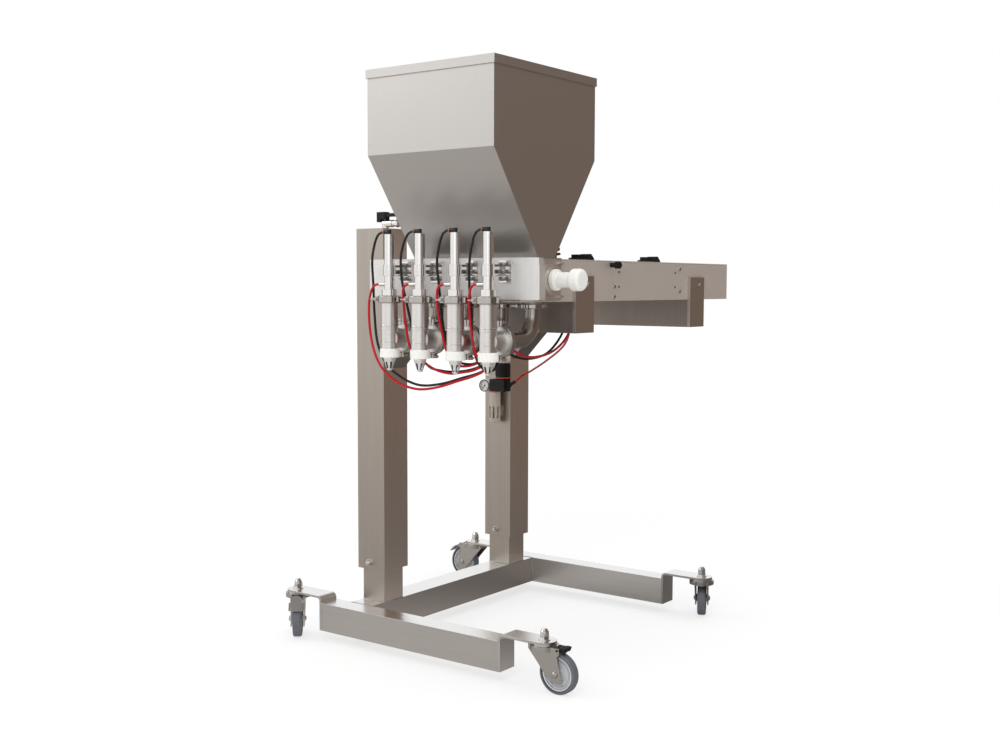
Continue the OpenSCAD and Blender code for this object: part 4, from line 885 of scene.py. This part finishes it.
def round_line(name: str, radius: float, resolution: int, runs: Sequence[Sequence[Vector]]) -> Curve:
    """Make a curve with a round section.

    Args:
        name: The curve's name.
        radius: Radius of the section in millimetres.
        resolution: Blender's resolution of the section.
        runs: Lines of points in the row frame, one spline each.

    Returns:
        The curve.
    """
    curve = bpy.data.curves.new(name, "CURVE")
    curve.dimensions = "3D"
    curve.bevel_depth = radius * MM
    curve.bevel_resolution = resolution
    curve.use_fill_caps = True
    for run in runs:
        spline = curve.splines.new("POLY")
        spline.points.add(len(run) - 1)
        for point, where in zip(spline.points, run):
            point.co = (*where, 1.0)
        spline.use_smooth = True
    return curve


def keep(name: str, data: Form | Curve, finish: Finish, body: Body) -> Piece:
    """Link a made form or curve as a piece that rides on a body.

    Args:
        name: The piece's name.
        data: Its curve, or the form that is closed into its mesh.
        finish: Its surface.
        body: The body that carries it.

    Returns:
        The piece.
    """
    if isinstance(data, Form):
        form, data = data, bpy.data.meshes.new(name)
        bmesh.ops.recalc_face_normals(form, faces=form.faces)
        form.to_mesh(data)
        form.free()
    piece = link(name, data)
    data.materials.append(finish.material())
    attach(piece, body.value)
    return piece


def turned(form: Form, section: Sequence[Pair], centre: Point, axis: Point, steps: int = 56) -> None:
    """Add a turned ring or disc to a form.

    Args:
        form: Form that takes the ring.
        section: Closed outline as (radius, height along the axis) in millimetres.
        centre: Where the axis starts, in the maker's frame.
        axis: Direction of the axis.
        steps: Sides of the ring.
    """
    where = aimed(place(*centre), Vector(axis))
    rings = []
    for k in range(steps):
        angle = 2 * math.pi * k / steps
        spots = (Vector((r * math.cos(angle) * MM, r * math.sin(angle) * MM, h * MM)) for r, h in section)
        rings.append([form.verts.new(where @ spot) for spot in spots])
    for near, far in zip(rings, rings[1:] + rings[:1]):
        for i in range(len(section)):
            j = (i + 1) % len(section)
            form.faces.new((near[i], far[i], far[j], near[j])).smooth = True


def band(inner: float, edge: float, outer: float, high: float, bevel: float) -> Sequence[Pair]:
    """Return the section of a ring with two bevelled outer edges.

    Args:
        inner: Inner radius in millimetres.
        edge: Radius where the bevels start.
        outer: Outer radius.
        high: Height of the ring.
        bevel: Height of each bevel.

    Returns:
        The closed outline as (radius, height).
    """
    return (
        (inner, 0.0), (edge, 0.0), (outer, bevel), (outer, high - bevel), (edge, high), (inner, high),
    )


@dataclass
class AirTubes:
    """Red and black air tubes, each one smooth curve from a fitting to a block or the housing."""

    radius: float = 3.0
    steps: int = 6
    red: Sequence[Sequence[Point]] = (
        ((-178.3, -172, 971), (-181, -172, 971), (-184, -172, 971), (-195, -172, 967), (-205, -172, 952),
         (-212, -171, 925), (-214, -169, 890), (-212, -166, 850), (-203, -163, 810), (-183, -160, 773),
         (-147, -155, 743), (-108, -150, 729), (-70, -144, 725), (-23, -135, 733), (23, -125, 748),
         (60, -116, 760), (88, -109, 775), (104, -106, 801), (104, -106, 806), (104, -106, 811.7)),
        ((-84.8, -172, 971), (-87, -172, 971), (-90, -172, 971), (-100, -172, 966), (-105, -171, 952),
         (-106, -167, 925), (-108, -158, 876), (-106, -147, 827), (-92, -138, 800), (-69, -130, 784),
         (-40, -125, 770), (-5, -121, 764), (30, -120, 768), (60, -114, 774), (82, -108, 786),
         (93, -106, 803), (93, -106, 807), (93, -106, 811.7)),
        ((20.2, -172, 971), (18, -172, 971), (15, -172, 971), (6, -172, 967), (-2, -170, 955),
         (-6, -165, 920), (-3, -155, 870), (5, -146, 820), (20, -135, 788), (45, -124, 783), (68, -112, 790),
         (82, -106, 803), (82, -106, 807), (82, -106, 811.7)),
        ((113.7, -172, 971), (111, -172, 971), (108.5, -172, 971), (100, -172, 967), (92, -170, 953),
         (87, -165, 915), (85, -155, 870), (88, -146, 820), (99, -129, 790), (112, -113, 788),
         (115, -106, 801), (115, -106, 806), (115, -106, 811.7)),
        ((111, -87.7, 836), (111, -85, 836), (111, -81, 836), (113, -70, 834), (118, -45, 822),
         (121, -10, 806), (116, 45, 799), (108, 110, 802), (103, 160, 813), (101, 205, 836), (101, 238, 872),
         (101, 250, 903), (101, 250, 909), (101, 250, 914.7)),
        ((-378.5, 657, 679), (-366, 654, 686), (-322, 618, 703), (-256, 560, 720), (-148, 480, 757),
         (-32, 380, 798), (30, 320, 828), (58, 290, 862), (64, 282, 901), (64, 282, 908), (64, 282, 914.7)),
    )
    black: Sequence[Sequence[Point]] = (
        ((-164.3, -172, 1093), (-167, -172, 1093), (-170, -172, 1093), (-183, -172, 1085),
         (-195, -171, 1060), (-204, -168, 1025), (-207, -161, 968), (-211, -153, 900), (-206, -148, 830),
         (-181, -144, 780), (-146, -140, 754), (-108, -136, 738), (-72, -131, 733), (-23, -122, 740),
         (23, -112, 754), (60, -103, 765), (88, -97, 779), (104, -94, 801), (104, -94, 806),
         (104, -94, 811.7)),
        ((-70.8, -172, 1093), (-73.5, -172, 1093), (-76.5, -172, 1093), (-89, -172, 1086),
         (-103, -171, 1064), (-113, -169, 1030), (-114, -164, 980), (-108, -152, 920), (-100, -142, 862),
         (-92, -132, 812), (-69, -119, 777), (-40, -112, 769), (-5, -108, 767), (30, -106, 771),
         (60, -101, 779), (82, -96, 791), (93, -94, 803), (93, -94, 807), (93, -94, 811.7)),
        ((34.2, -172, 1093), (31.5, -172, 1093), (28.5, -172, 1093), (16, -172, 1085), (4, -170, 1060),
         (-6, -166, 1020), (-8, -156, 965), (-9, -146, 905), (-4, -136, 845), (14, -122, 797),
         (45, -110, 787), (68, -101, 794), (82, -94, 803), (82, -94, 807), (82, -94, 811.7)),
        ((127.7, -172, 1093), (125, -172, 1093), (122, -172, 1093), (110, -172, 1085), (99, -170, 1062),
         (89, -167, 1020), (82, -158, 965), (81, -150, 905), (81, -145, 845), (86, -136, 800),
         (97, -118, 775), (111, -103, 777), (115, -94, 801), (115, -94, 806), (115, -94, 811.7)),
        ((88, -87.7, 836), (88, -85, 836), (88, -81, 836), (90, -70, 834), (95, -45, 820), (99, -10, 803),
         (97, 45, 794), (92, 110, 797), (87, 160, 810), (84, 205, 838), (82, 238, 874), (82, 250, 903),
         (82, 250, 909), (82, 250, 914.7)),
    )

    def smooth(self, route: Sequence[Point]) -> list[Vector]:
        """Run a smooth line through the route's points.

        Args:
            route: Points in the maker's frame.

        Returns:
            Close points along the line, in the row frame.
        """
        p = [place(*q) for q in route]
        line: list[Vector] = []
        for i in range(len(p) - 1):
            a, b, c, d = p[max(i - 1, 0)], p[i], p[i + 1], p[min(i + 2, len(p) - 1)]
            square = 2 * a - 5 * b + 4 * c - d
            cube = 3 * b - a - 3 * c + d
            for k in range(self.steps):
                t = k / self.steps
                line.append(0.5 * ((2 * b) + (c - a) * t + square * t * t + cube * t**3))
        line.append(p[-1])
        return line

    def tube(self, name: str, route: Sequence[Point], finish: Finish, node: str) -> Piece:
        """Args:
            name: The tube's name.
            route: Its points in the maker's frame.
            finish: Its surface.
            node: CAD node that it stands for.

        Returns:
            The tube.
        """
        line = self.smooth(route)
        piece = keep(name, round_line(name, self.radius, 3, [line]), finish, Body.HEAD)
        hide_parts(node)
        return piece

    def build(self) -> list[Piece]:
        """Make all the tubes.

        Returns:
            The tubes.
        """
        sets = (("red", self.red, RED_HOSE, Slot.RED), ("black", self.black, BLACK_HOSE, Slot.BLACK))
        return [
            self.tube(f"{colour}_tube_{i + 1}", route, finish, f"{colour}_tubes")
            for colour, routes, finish, slot in sets
            for i, route in enumerate(routes)
        ]


@dataclass
class NozzleBands:
    """Bright seam rings round the four nozzle bodies."""

    radius: float = 20.0
    sunk: float = 0.4
    edge: float = 0.2
    proud: float = 0.55
    bevel: float = 0.4
    levels: Sequence[Pair] = ((871.0, 3.4), (835.0, 1.4))

    def build(self) -> Piece:
        """Turn the rings with chamfered edges.

        Returns:
            The rings, as one piece.
        """
        form = bmesh.new()
        r = self.radius
        for x in NOZZLE_XS:
            for z, wide in self.levels:
                section = band(r - self.sunk, r + self.edge, r + self.proud, wide, self.bevel)
                turned(form, section, (x, NOZZLE_Y, z), (0.0, 0.0, 1.0))
        return keep("nozzle_bands", form, BRIGHT, Body.HEAD)


@dataclass
class AirUnitTrim:
    """Lock rings of the regulator, and the dial's bezel, ticks and numbers."""

    bowl: Point = (-456.0, 657.4, 643.9)
    bowl_neck: float = 17.2
    knob: Point = (-427.0, 657.4, 686.8)
    knob_neck: float = 20.3
    lock_edge: float = 1.3
    lock_proud: float = 1.8
    lock_high: float = 2.8
    lock_bevel: float = 0.5
    dial: Point = (-488.0, 648.9, 662.0)
    bezel_depth: float = 3.4
    bezel_section: Sequence[Pair] = (
        (16.6, 0.0), (18.9, 0.0), (18.9, 1.0), (18.2, 1.7), (17.2, 1.7), (16.6, 1.0),
    )
    ticks: int = 11
    sweep: float = 270.0
    tick_inner: Pair = (12.0, 13.2)
    tick_half: Pair = (0.45, 0.28)
    tick_outer: float = 15.6
    tick_depths: Pair = (-0.05, -0.2)
    number_radius: float = 9.2
    number_size: float = 4.2
    number_depth: float = 0.12
    number_half: float = 0.07

    def rings(self) -> list[Piece]:
        """Red lock rings at the bowl's neck and under the knob.

        Returns:
            The two rings.
        """
        made = []
        necks = (
            ("bowl_lock_ring", self.bowl, self.bowl_neck, Body.HEAD),
            ("knob_lock_ring", self.knob, self.knob_neck, Body.KNOB),
        )
        for name, centre, r, body in necks:
            form = bmesh.new()
            section = band(r, r + self.lock_edge, r + self.lock_proud, self.lock_high, self.lock_bevel)
            turned(form, section, centre, (0.0, 0.0, 1.0))
            made.append(keep(name, form, LOCK_RED, body))
        return made

    def bezel(self) -> Piece:
        """Dark ring on the gauge's front edge.

        Returns:
            The ring.
        """
        form = bmesh.new()
        x, y, z = self.dial
        turned(form, self.bezel_section, (x, y - self.bezel_depth, z), (0.0, -1.0, 0.0))
        return keep("gauge_bezel", form, FITTING_BLACK, Body.HEAD)

    def angle(self, step: int, steps: int) -> float:
        """Return the angle of a mark on the dial, in radians from the dial's right side."""
        return math.radians(90.0 + self.sweep / 2 - self.sweep * step / steps)

    def scale(self) -> Piece:
        """Tick marks round the dial, longer at every second one.

        Returns:
            The marks, as one piece.
        """
        form = bmesh.new()
        marks = 2 * self.ticks - 1
        for k in range(marks):
            angle = self.angle(k, marks - 1)
            inner, wide, outer = self.tick_inner[k % 2], self.tick_half[k % 2], self.tick_outer
            along = Vector((math.cos(angle), 0.0, math.sin(angle)))
            aside = Vector((-math.sin(angle), 0.0, math.cos(angle)))
            corners = []
            for depth in self.tick_depths:
                for r, w in ((inner, wide), (outer, wide), (outer, -wide), (inner, -wide)):
                    p = Vector(self.dial) + along * r + aside * w + Vector((0.0, depth, 0.0))
                    corners.append(form.verts.new(place(*p)))
            form.faces.new(corners[4:])
            form.faces.new(corners[3::-1])
            for i in range(4):
                j = (i + 1) % 4
                form.faces.new((corners[i], corners[j], corners[4 + j], corners[4 + i]))
        return keep("gauge_scale", form, FITTING_BLACK, Body.HEAD)

    def numbers(self) -> list[Piece]:
        """Plain numbers from 0 to 10 inside the ticks.

        Returns:
            The six numbers.
        """
        made = []
        x, y, z = self.dial
        for k in range(0, self.ticks, 2):
            angle = self.angle(k, self.ticks - 1)
            text = bpy.data.curves.new(f"gauge_number_{k}", "FONT")
            text.body = str(k)
            text.size = self.number_size * MM
            text.extrude = self.number_half * MM
            text.align_x = "CENTER"
            text.align_y = "CENTER"
            piece = keep(f"gauge_number_{k}", text, FITTING_BLACK, Body.HEAD)
            across, up = self.number_radius * math.cos(angle), self.number_radius * math.sin(angle)
            spot = place(x + across, y - self.number_depth, z + up)
            piece.matrix_world = Matrix.Translation(spot) @ Matrix.Rotation(math.radians(90.0), 4, "X")
            made.append(piece)
        return made

    def build(self) -> list[Piece]:
        """Make the rings and the dial's marks."""
        return [*self.rings(), self.bezel(), self.scale(), *self.numbers()]


@dataclass
class ScrewSockets:
    """Hexagon sockets in the button heads on the housing and the arm plates, painted dark as the shade inside
    them.
    """

    section: Sequence[Pair] = ((0.05, -0.3), (2.6, -0.3), (2.6, 0.12), (0.05, 0.05))
    side_x: float = 188.0
    plate_x: float = 196.0
    side_heads: Sequence[Pair] = ((298.0, 967.0), (298.0, 942.0), (638.0, 1014.0), (638.0, 954.0))
    plate_heads: Sequence[Pair] = ((166.4, 971.0), (742.4, 971.0))
    cover_heads: Sequence[Pair] = ((-160.0, 953.0), (-160.0, 1011.0), (160.0, 953.0), (160.0, 1011.0))
    cover_y: float = 930.0

    def build(self) -> Piece:
        """Lay a slightly dished hexagon of painted shade into each head.

        Returns:
            The hexagons, as one piece.
        """
        form = bmesh.new()
        spots = [((self.side_x, y, z), (1.0, 0.0, 0.0)) for y, z in self.side_heads]
        spots += [((self.plate_x, y, z), (1.0, 0.0, 0.0)) for y, z in self.plate_heads]
        spots += [((x, self.cover_y, z), (0.0, 1.0, 0.0)) for x, z in self.cover_heads]
        for centre, axis in spots:
            turned(form, self.section, centre, axis, steps=6)
        return keep("screw_sockets", form, BORE_SHADE, Body.HEAD)


@dataclass
class WeldBeads:
    """Weld beads where the square tubes of the stand and the arms meet."""

    radius: float = 1.5
    cross_x: Pair = (-500.0, -424.0)
    leg_faces: Pair = (66.4, 814.4)
    leg_z: Pair = (30.0, 106.0)
    column_ys: Pair = (152.4, 728.4)
    half: float = 38.0
    arm_z: Pair = (855.0, 931.0)
    root_x: float = -414.0

    def bead(self, name: str, runs: Sequence[Sequence[Point]], body: Body) -> Piece:
        """Lay rounded beads along runs of points of the maker's frame, as one piece on a body."""
        lines = [[place(*where) for where in run] for run in runs]
        return keep(name, round_line(name, self.radius, 2, lines), WELD, body)

    def build(self) -> list[Piece]:
        """Beads of the crossbar, the column feet and the arm roots.

        Returns:
            The beads of the stand and of the arms.
        """
        x0, x1 = self.cross_x
        low, high = self.leg_z
        base = [[(x0, y, low), (x0, y, high), (x1, y, high), (x1, y, low)] for y in self.leg_faces]
        middle, h = (x0 + x1) / 2, self.half
        foot = ((-h, -h), (h, -h), (h, h), (-h, h), (-h, -h))
        base += [[(middle + across, y + along, high) for across, along in foot] for y in self.column_ys]
        b, t = self.arm_z
        root = ((-h, b), (-h, t), (h, t), (h, b))
        head = [[(self.root_x, y + along, z) for along, z in root] for y in self.column_ys]
        return [self.bead("stand_welds", base, Body.BASE), self.bead("arm_welds", head, Body.HEAD)]


LAMPS = (
    ("left_lamp", (-3.2, -2.4, 3.4), (2.6, 2.2), 38.0, True),
    ("key_lamp", (1.7, -3.3, 2.7), (2.0, 2.0), 55.0, False),
    ("top_lamp", (0.4, 0.2, 4.2), (3.2, 3.2), 60.0, False),
)
CARDS = (
    ("side_card", (1.75, 2.05, 1.35), (-0.6, -0.8, 0.0), (4.6, 3.4), (0.235, 0.180, 0.148)),
    ("right_card", (2.9, -0.75, 1.25), (-1.0, 0.0, 0.0), (2.6, 3.9), (0.17, 0.14, 0.12)),
    ("front_card", (1.5, -3.4, 2.2), (-0.4, 0.85, -0.35), (0.9, 2.4), (1.6, 1.58, 1.55)),
    ("left_card", (-3.2, 0.6, 1.25), (1.0, 0.0, 0.0), (2.6, 3.0), (0.26, 0.24, 0.22)),
)


@dataclass
class Studio:
    """Camera, floor, soft lamps, and the cards that shape the metal."""

    eye: Point = (1800.0, -2357.4, 971.6)
    yaw: float = 36.57
    pitch: float = 4.2
    roll: float = 0.14
    focal_px: float = 1234.7
    frame_px: float = 1000.0
    sensor: float = 36.0
    reach: float = 100.0
    aim: Point = (0.1, -0.2, 0.9)
    sky_heights: Pair = (0.30, 0.85)
    sky_greys: Pair = (1.0, 0.40)
    fill_grey: Colour = (0.60, 0.60, 0.60)
    floor_radius: float = 30.0
    floor_paint: Colour = (0.80, 0.78, 0.76)
    floor_lit: Colour = (0.34, 0.34, 0.34)
    glow_span: Pair = (1.0, 6.0)
    glow_ends: Pair = (0.68, 0.88)
    metal_lean: Pair = (0.6, 0.8)
    metal_span: Pair = (-0.35, 0.55)
    metal_ends: Pair = (0.58, 0.17)
    metal_far_span: Pair = (2.0, 8.0)
    metal_far: float = 0.92
    metal_tint: Colour = (1.0, 0.955, 0.92)

    def camera(self) -> None:
        """Stand the camera where the photograph was taken."""
        data = bpy.data.cameras.new("camera")
        data.sensor_width = self.sensor
        data.sensor_fit = "HORIZONTAL"
        data.lens = self.focal_px / self.frame_px * data.sensor_width
        data.clip_end = self.reach
        made = link("camera", data)
        turns = ((self.yaw, "Z"), (90.0 - self.pitch, "X"), (self.roll, "Z"))
        yaw, tilt, roll = (Matrix.Rotation(math.radians(angle), 4, axis) for angle, axis in turns)
        made.matrix_world = Matrix.Translation(place(*self.eye)) @ (yaw @ tilt @ roll)
        bpy.context.scene.camera = made

    def world(self) -> None:
        """White behind the object, a sky that darkens upward in its metal, and even grey light."""
        world = bpy.data.worlds.new("studio")
        bpy.context.scene.world = world
        world.use_nodes = True
        world.node_tree.nodes.clear()
        nodes = Nodes(world.node_tree)
        path = nodes.add("ShaderNodeLightPath").outputs
        seen = nodes.maths("MAXIMUM", path["Is Camera Ray"], path["Is Glossy Ray"])
        seen = nodes.maths("MAXIMUM", seen, path["Is Transmission Ray"])
        above = nodes.grey(nodes.ease(nodes.axis("Z"), self.sky_heights, self.sky_greys))
        shown = nodes.blend(path["Is Camera Ray"], above, (1.0, 1.0, 1.0))
        back = nodes.fill("ShaderNodeBackground", nodes.blend(seen, self.fill_grey, shown))
        nodes.fill("ShaderNodeOutputWorld", back.outputs[0])

    def sheet(self, name: str, paint: bpy.types.Material, build: Callable[[Form], object]) -> Piece:
        """Make a flat piece of the studio that isn't part of the object.

        Args:
            name: The piece's name.
            paint: Its material.
            build: Puts the faces into a form.

        Returns:
            The piece.
        """
        mesh = bpy.data.meshes.new(name)
        form = bmesh.new()
        build(form)
        form.to_mesh(mesh)
        form.free()
        mesh.materials.append(paint)
        made = link(name, mesh)
        return made

    def floor(self) -> None:
        """Pale floor: near white to the camera, with a soft shadow left on it."""
        paint, nodes = blank("floor_paint")
        path = nodes.add("ShaderNodeLightPath").outputs
        plain = nodes.fill("ShaderNodeBsdfDiffuse", (*self.floor_paint, 1.0)).outputs[0]
        lit = nodes.fill("ShaderNodeBsdfDiffuse", (*self.floor_lit, 1.0)).outputs[0]
        away = nodes.vector_maths("LENGTH", nodes.position()).outputs["Value"]
        strength = nodes.ease(away, self.glow_span, self.glow_ends)
        glow = nodes.feed(nodes.add("ShaderNodeEmission"), Strength=strength).outputs[0]
        bright = nodes.fill("ShaderNodeAddShader", lit, glow).outputs[0]
        seen = nodes.maths("MAXIMUM", path["Is Camera Ray"], path["Is Transmission Ray"])
        mixed = nodes.fill("ShaderNodeMixShader", seen, plain, bright).outputs[0]
        mixed = nodes.fill("ShaderNodeMixShader", path["Is Glossy Ray"], mixed, self.floor_in_metal(nodes))
        nodes.fill("ShaderNodeOutputMaterial", mixed.outputs[0])
        self.sheet("floor", paint, lambda form: bmesh.ops.create_circle(
            form, cap_ends=True, segments=96, radius=self.floor_radius,
        ))

    def floor_in_metal(self, nodes: Nodes) -> Socket:
        """Floor as the metal sees it: pale to the left front, darker to the right back, white far off.

        Args:
            nodes: The nodes of the floor's material.

        Returns:
            The shader's socket.
        """
        x, y = self.metal_lean
        across = nodes.maths("MULTIPLY_ADD", nodes.axis("X"), x, nodes.maths("MULTIPLY", nodes.axis("Y"), y))
        side = nodes.ease(across, self.metal_span, self.metal_ends)
        away = nodes.vector_maths("LENGTH", nodes.position()).outputs["Value"]
        far = nodes.ease(away, self.metal_far_span, (0.0, 1.0))
        near = nodes.maths("MULTIPLY", side, nodes.maths("SUBTRACT", 1.0, far))
        strength = nodes.maths("MULTIPLY_ADD", far, self.metal_far, near)
        return nodes.fill("ShaderNodeEmission", (*self.metal_tint, 1.0), strength).outputs[0]

    def card(self, name: str, centre: Point, facing: Point, size: Pair, colour: Colour) -> None:
        """Stand a card that only shows in the metal.

        Args:
            name: The card's name.
            centre: Its middle in the row frame, in metres.
            facing: The direction it faces.
            size: Width and height in metres.
            colour: What the metal sees of it.
        """
        paint, nodes = blank(name + "_cloth")
        glow = nodes.fill("ShaderNodeEmission", (*colour, 1.0))
        nodes.fill("ShaderNodeOutputMaterial", glow.outputs[0])
        made = self.sheet(name, paint, lambda form: bmesh.ops.create_grid(
            form, x_segments=1, y_segments=1, size=0.5,
        ))
        made.matrix_world = aimed(Vector(centre), Vector(facing)) @ Matrix.Diagonal((*size, 1.0, 1.0))
        made.visible_camera = False
        made.visible_diffuse = False
        made.visible_shadow = False
        made.visible_transmission = False

    def lamp(self, name: str, centre: Point, size: Pair, watts: float, in_metal: bool) -> None:
        """Hang a soft rectangular lamp that points at the machine.

        Args:
            name: The lamp's name.
            centre: Its middle in the row frame, in metres.
            size: Width and height in metres.
            watts: Its power.
            in_metal: Whether it shows in the metal.
        """
        data = bpy.data.lights.new(name, "AREA")
        data.shape = "RECTANGLE"
        data.size, data.size_y = size
        data.energy = watts
        made = link(name, data)
        made.visible_glossy = in_metal
        made.matrix_world = aimed(Vector(centre), Vector(self.aim) - Vector(centre), "-Z")

    def build(self) -> None:
        """Set up camera, world, floor, lamps and cards."""
        self.camera()
        self.world()
        self.floor()
        for lamp in LAMPS:
            self.lamp(*lamp)
        for card in CARDS:
            self.card(*card)


@dataclass
class Machine:
    """The machine: dressed CAD nodes and the pieces made here."""

    nodes: dict[str, Piece]
    joints: Sequence[dict]
    tubes: AirTubes = field(default_factory=AirTubes)

    def dress_nodes(self) -> None:
        """Give every CAD node its finish."""
        for name, piece in self.nodes.items():
            if name == "near_right_brake":
                wear(piece, BLACK_PLASTIC)
            elif name.endswith(("_fork", "_brake")):
                wear(piece, ZINC)
            elif name.endswith("_wheel"):
                wear(piece, self.wheel_finish(name))
            elif name in NODE_FINISH:
                wear(piece, NODE_FINISH[name], PATCHES.get(name, ()))
        LOG.info("dressed %d nodes", len(self.nodes))

    def wheel_finish(self, name: str) -> WheelRings:
        """Return the wheel's finish, drawn round the axle of its rolling joint.

        Args:
            name: The wheel's node.

        Returns:
            The finish.
        """
        joint = next(j for j in self.joints if j["name"] == name.replace("_wheel", "_roll"))
        return WheelRings(
            name + "_moulding", (0.5, 0.5, 0.5), rough=0.5, relief=0.2,
            centre=tuple(joint["pos_m"]), axle=tuple(joint["axis"]),
        )

    def build(self) -> None:
        """Dress the nodes and make the added pieces."""
        made = self.tubes.build()
        self.dress_nodes()
        made += [NozzleBands().build(), *AirUnitTrim().build(), ScrewSockets().build(), *WeldBeads().build()]
        for piece in made:
            LOG.info("made %s", piece.name)


def main() -> None:
    """Build the scene in order."""
    logging.basicConfig(level=logging.INFO, format="%(message)s")
    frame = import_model()
    scene = bpy.context.scene
    scene.view_settings.view_transform = "Standard"
    Studio().build()
    Machine(frame["nodes"], frame["joints"]).build()


if __name__ == "__main__":
    main()
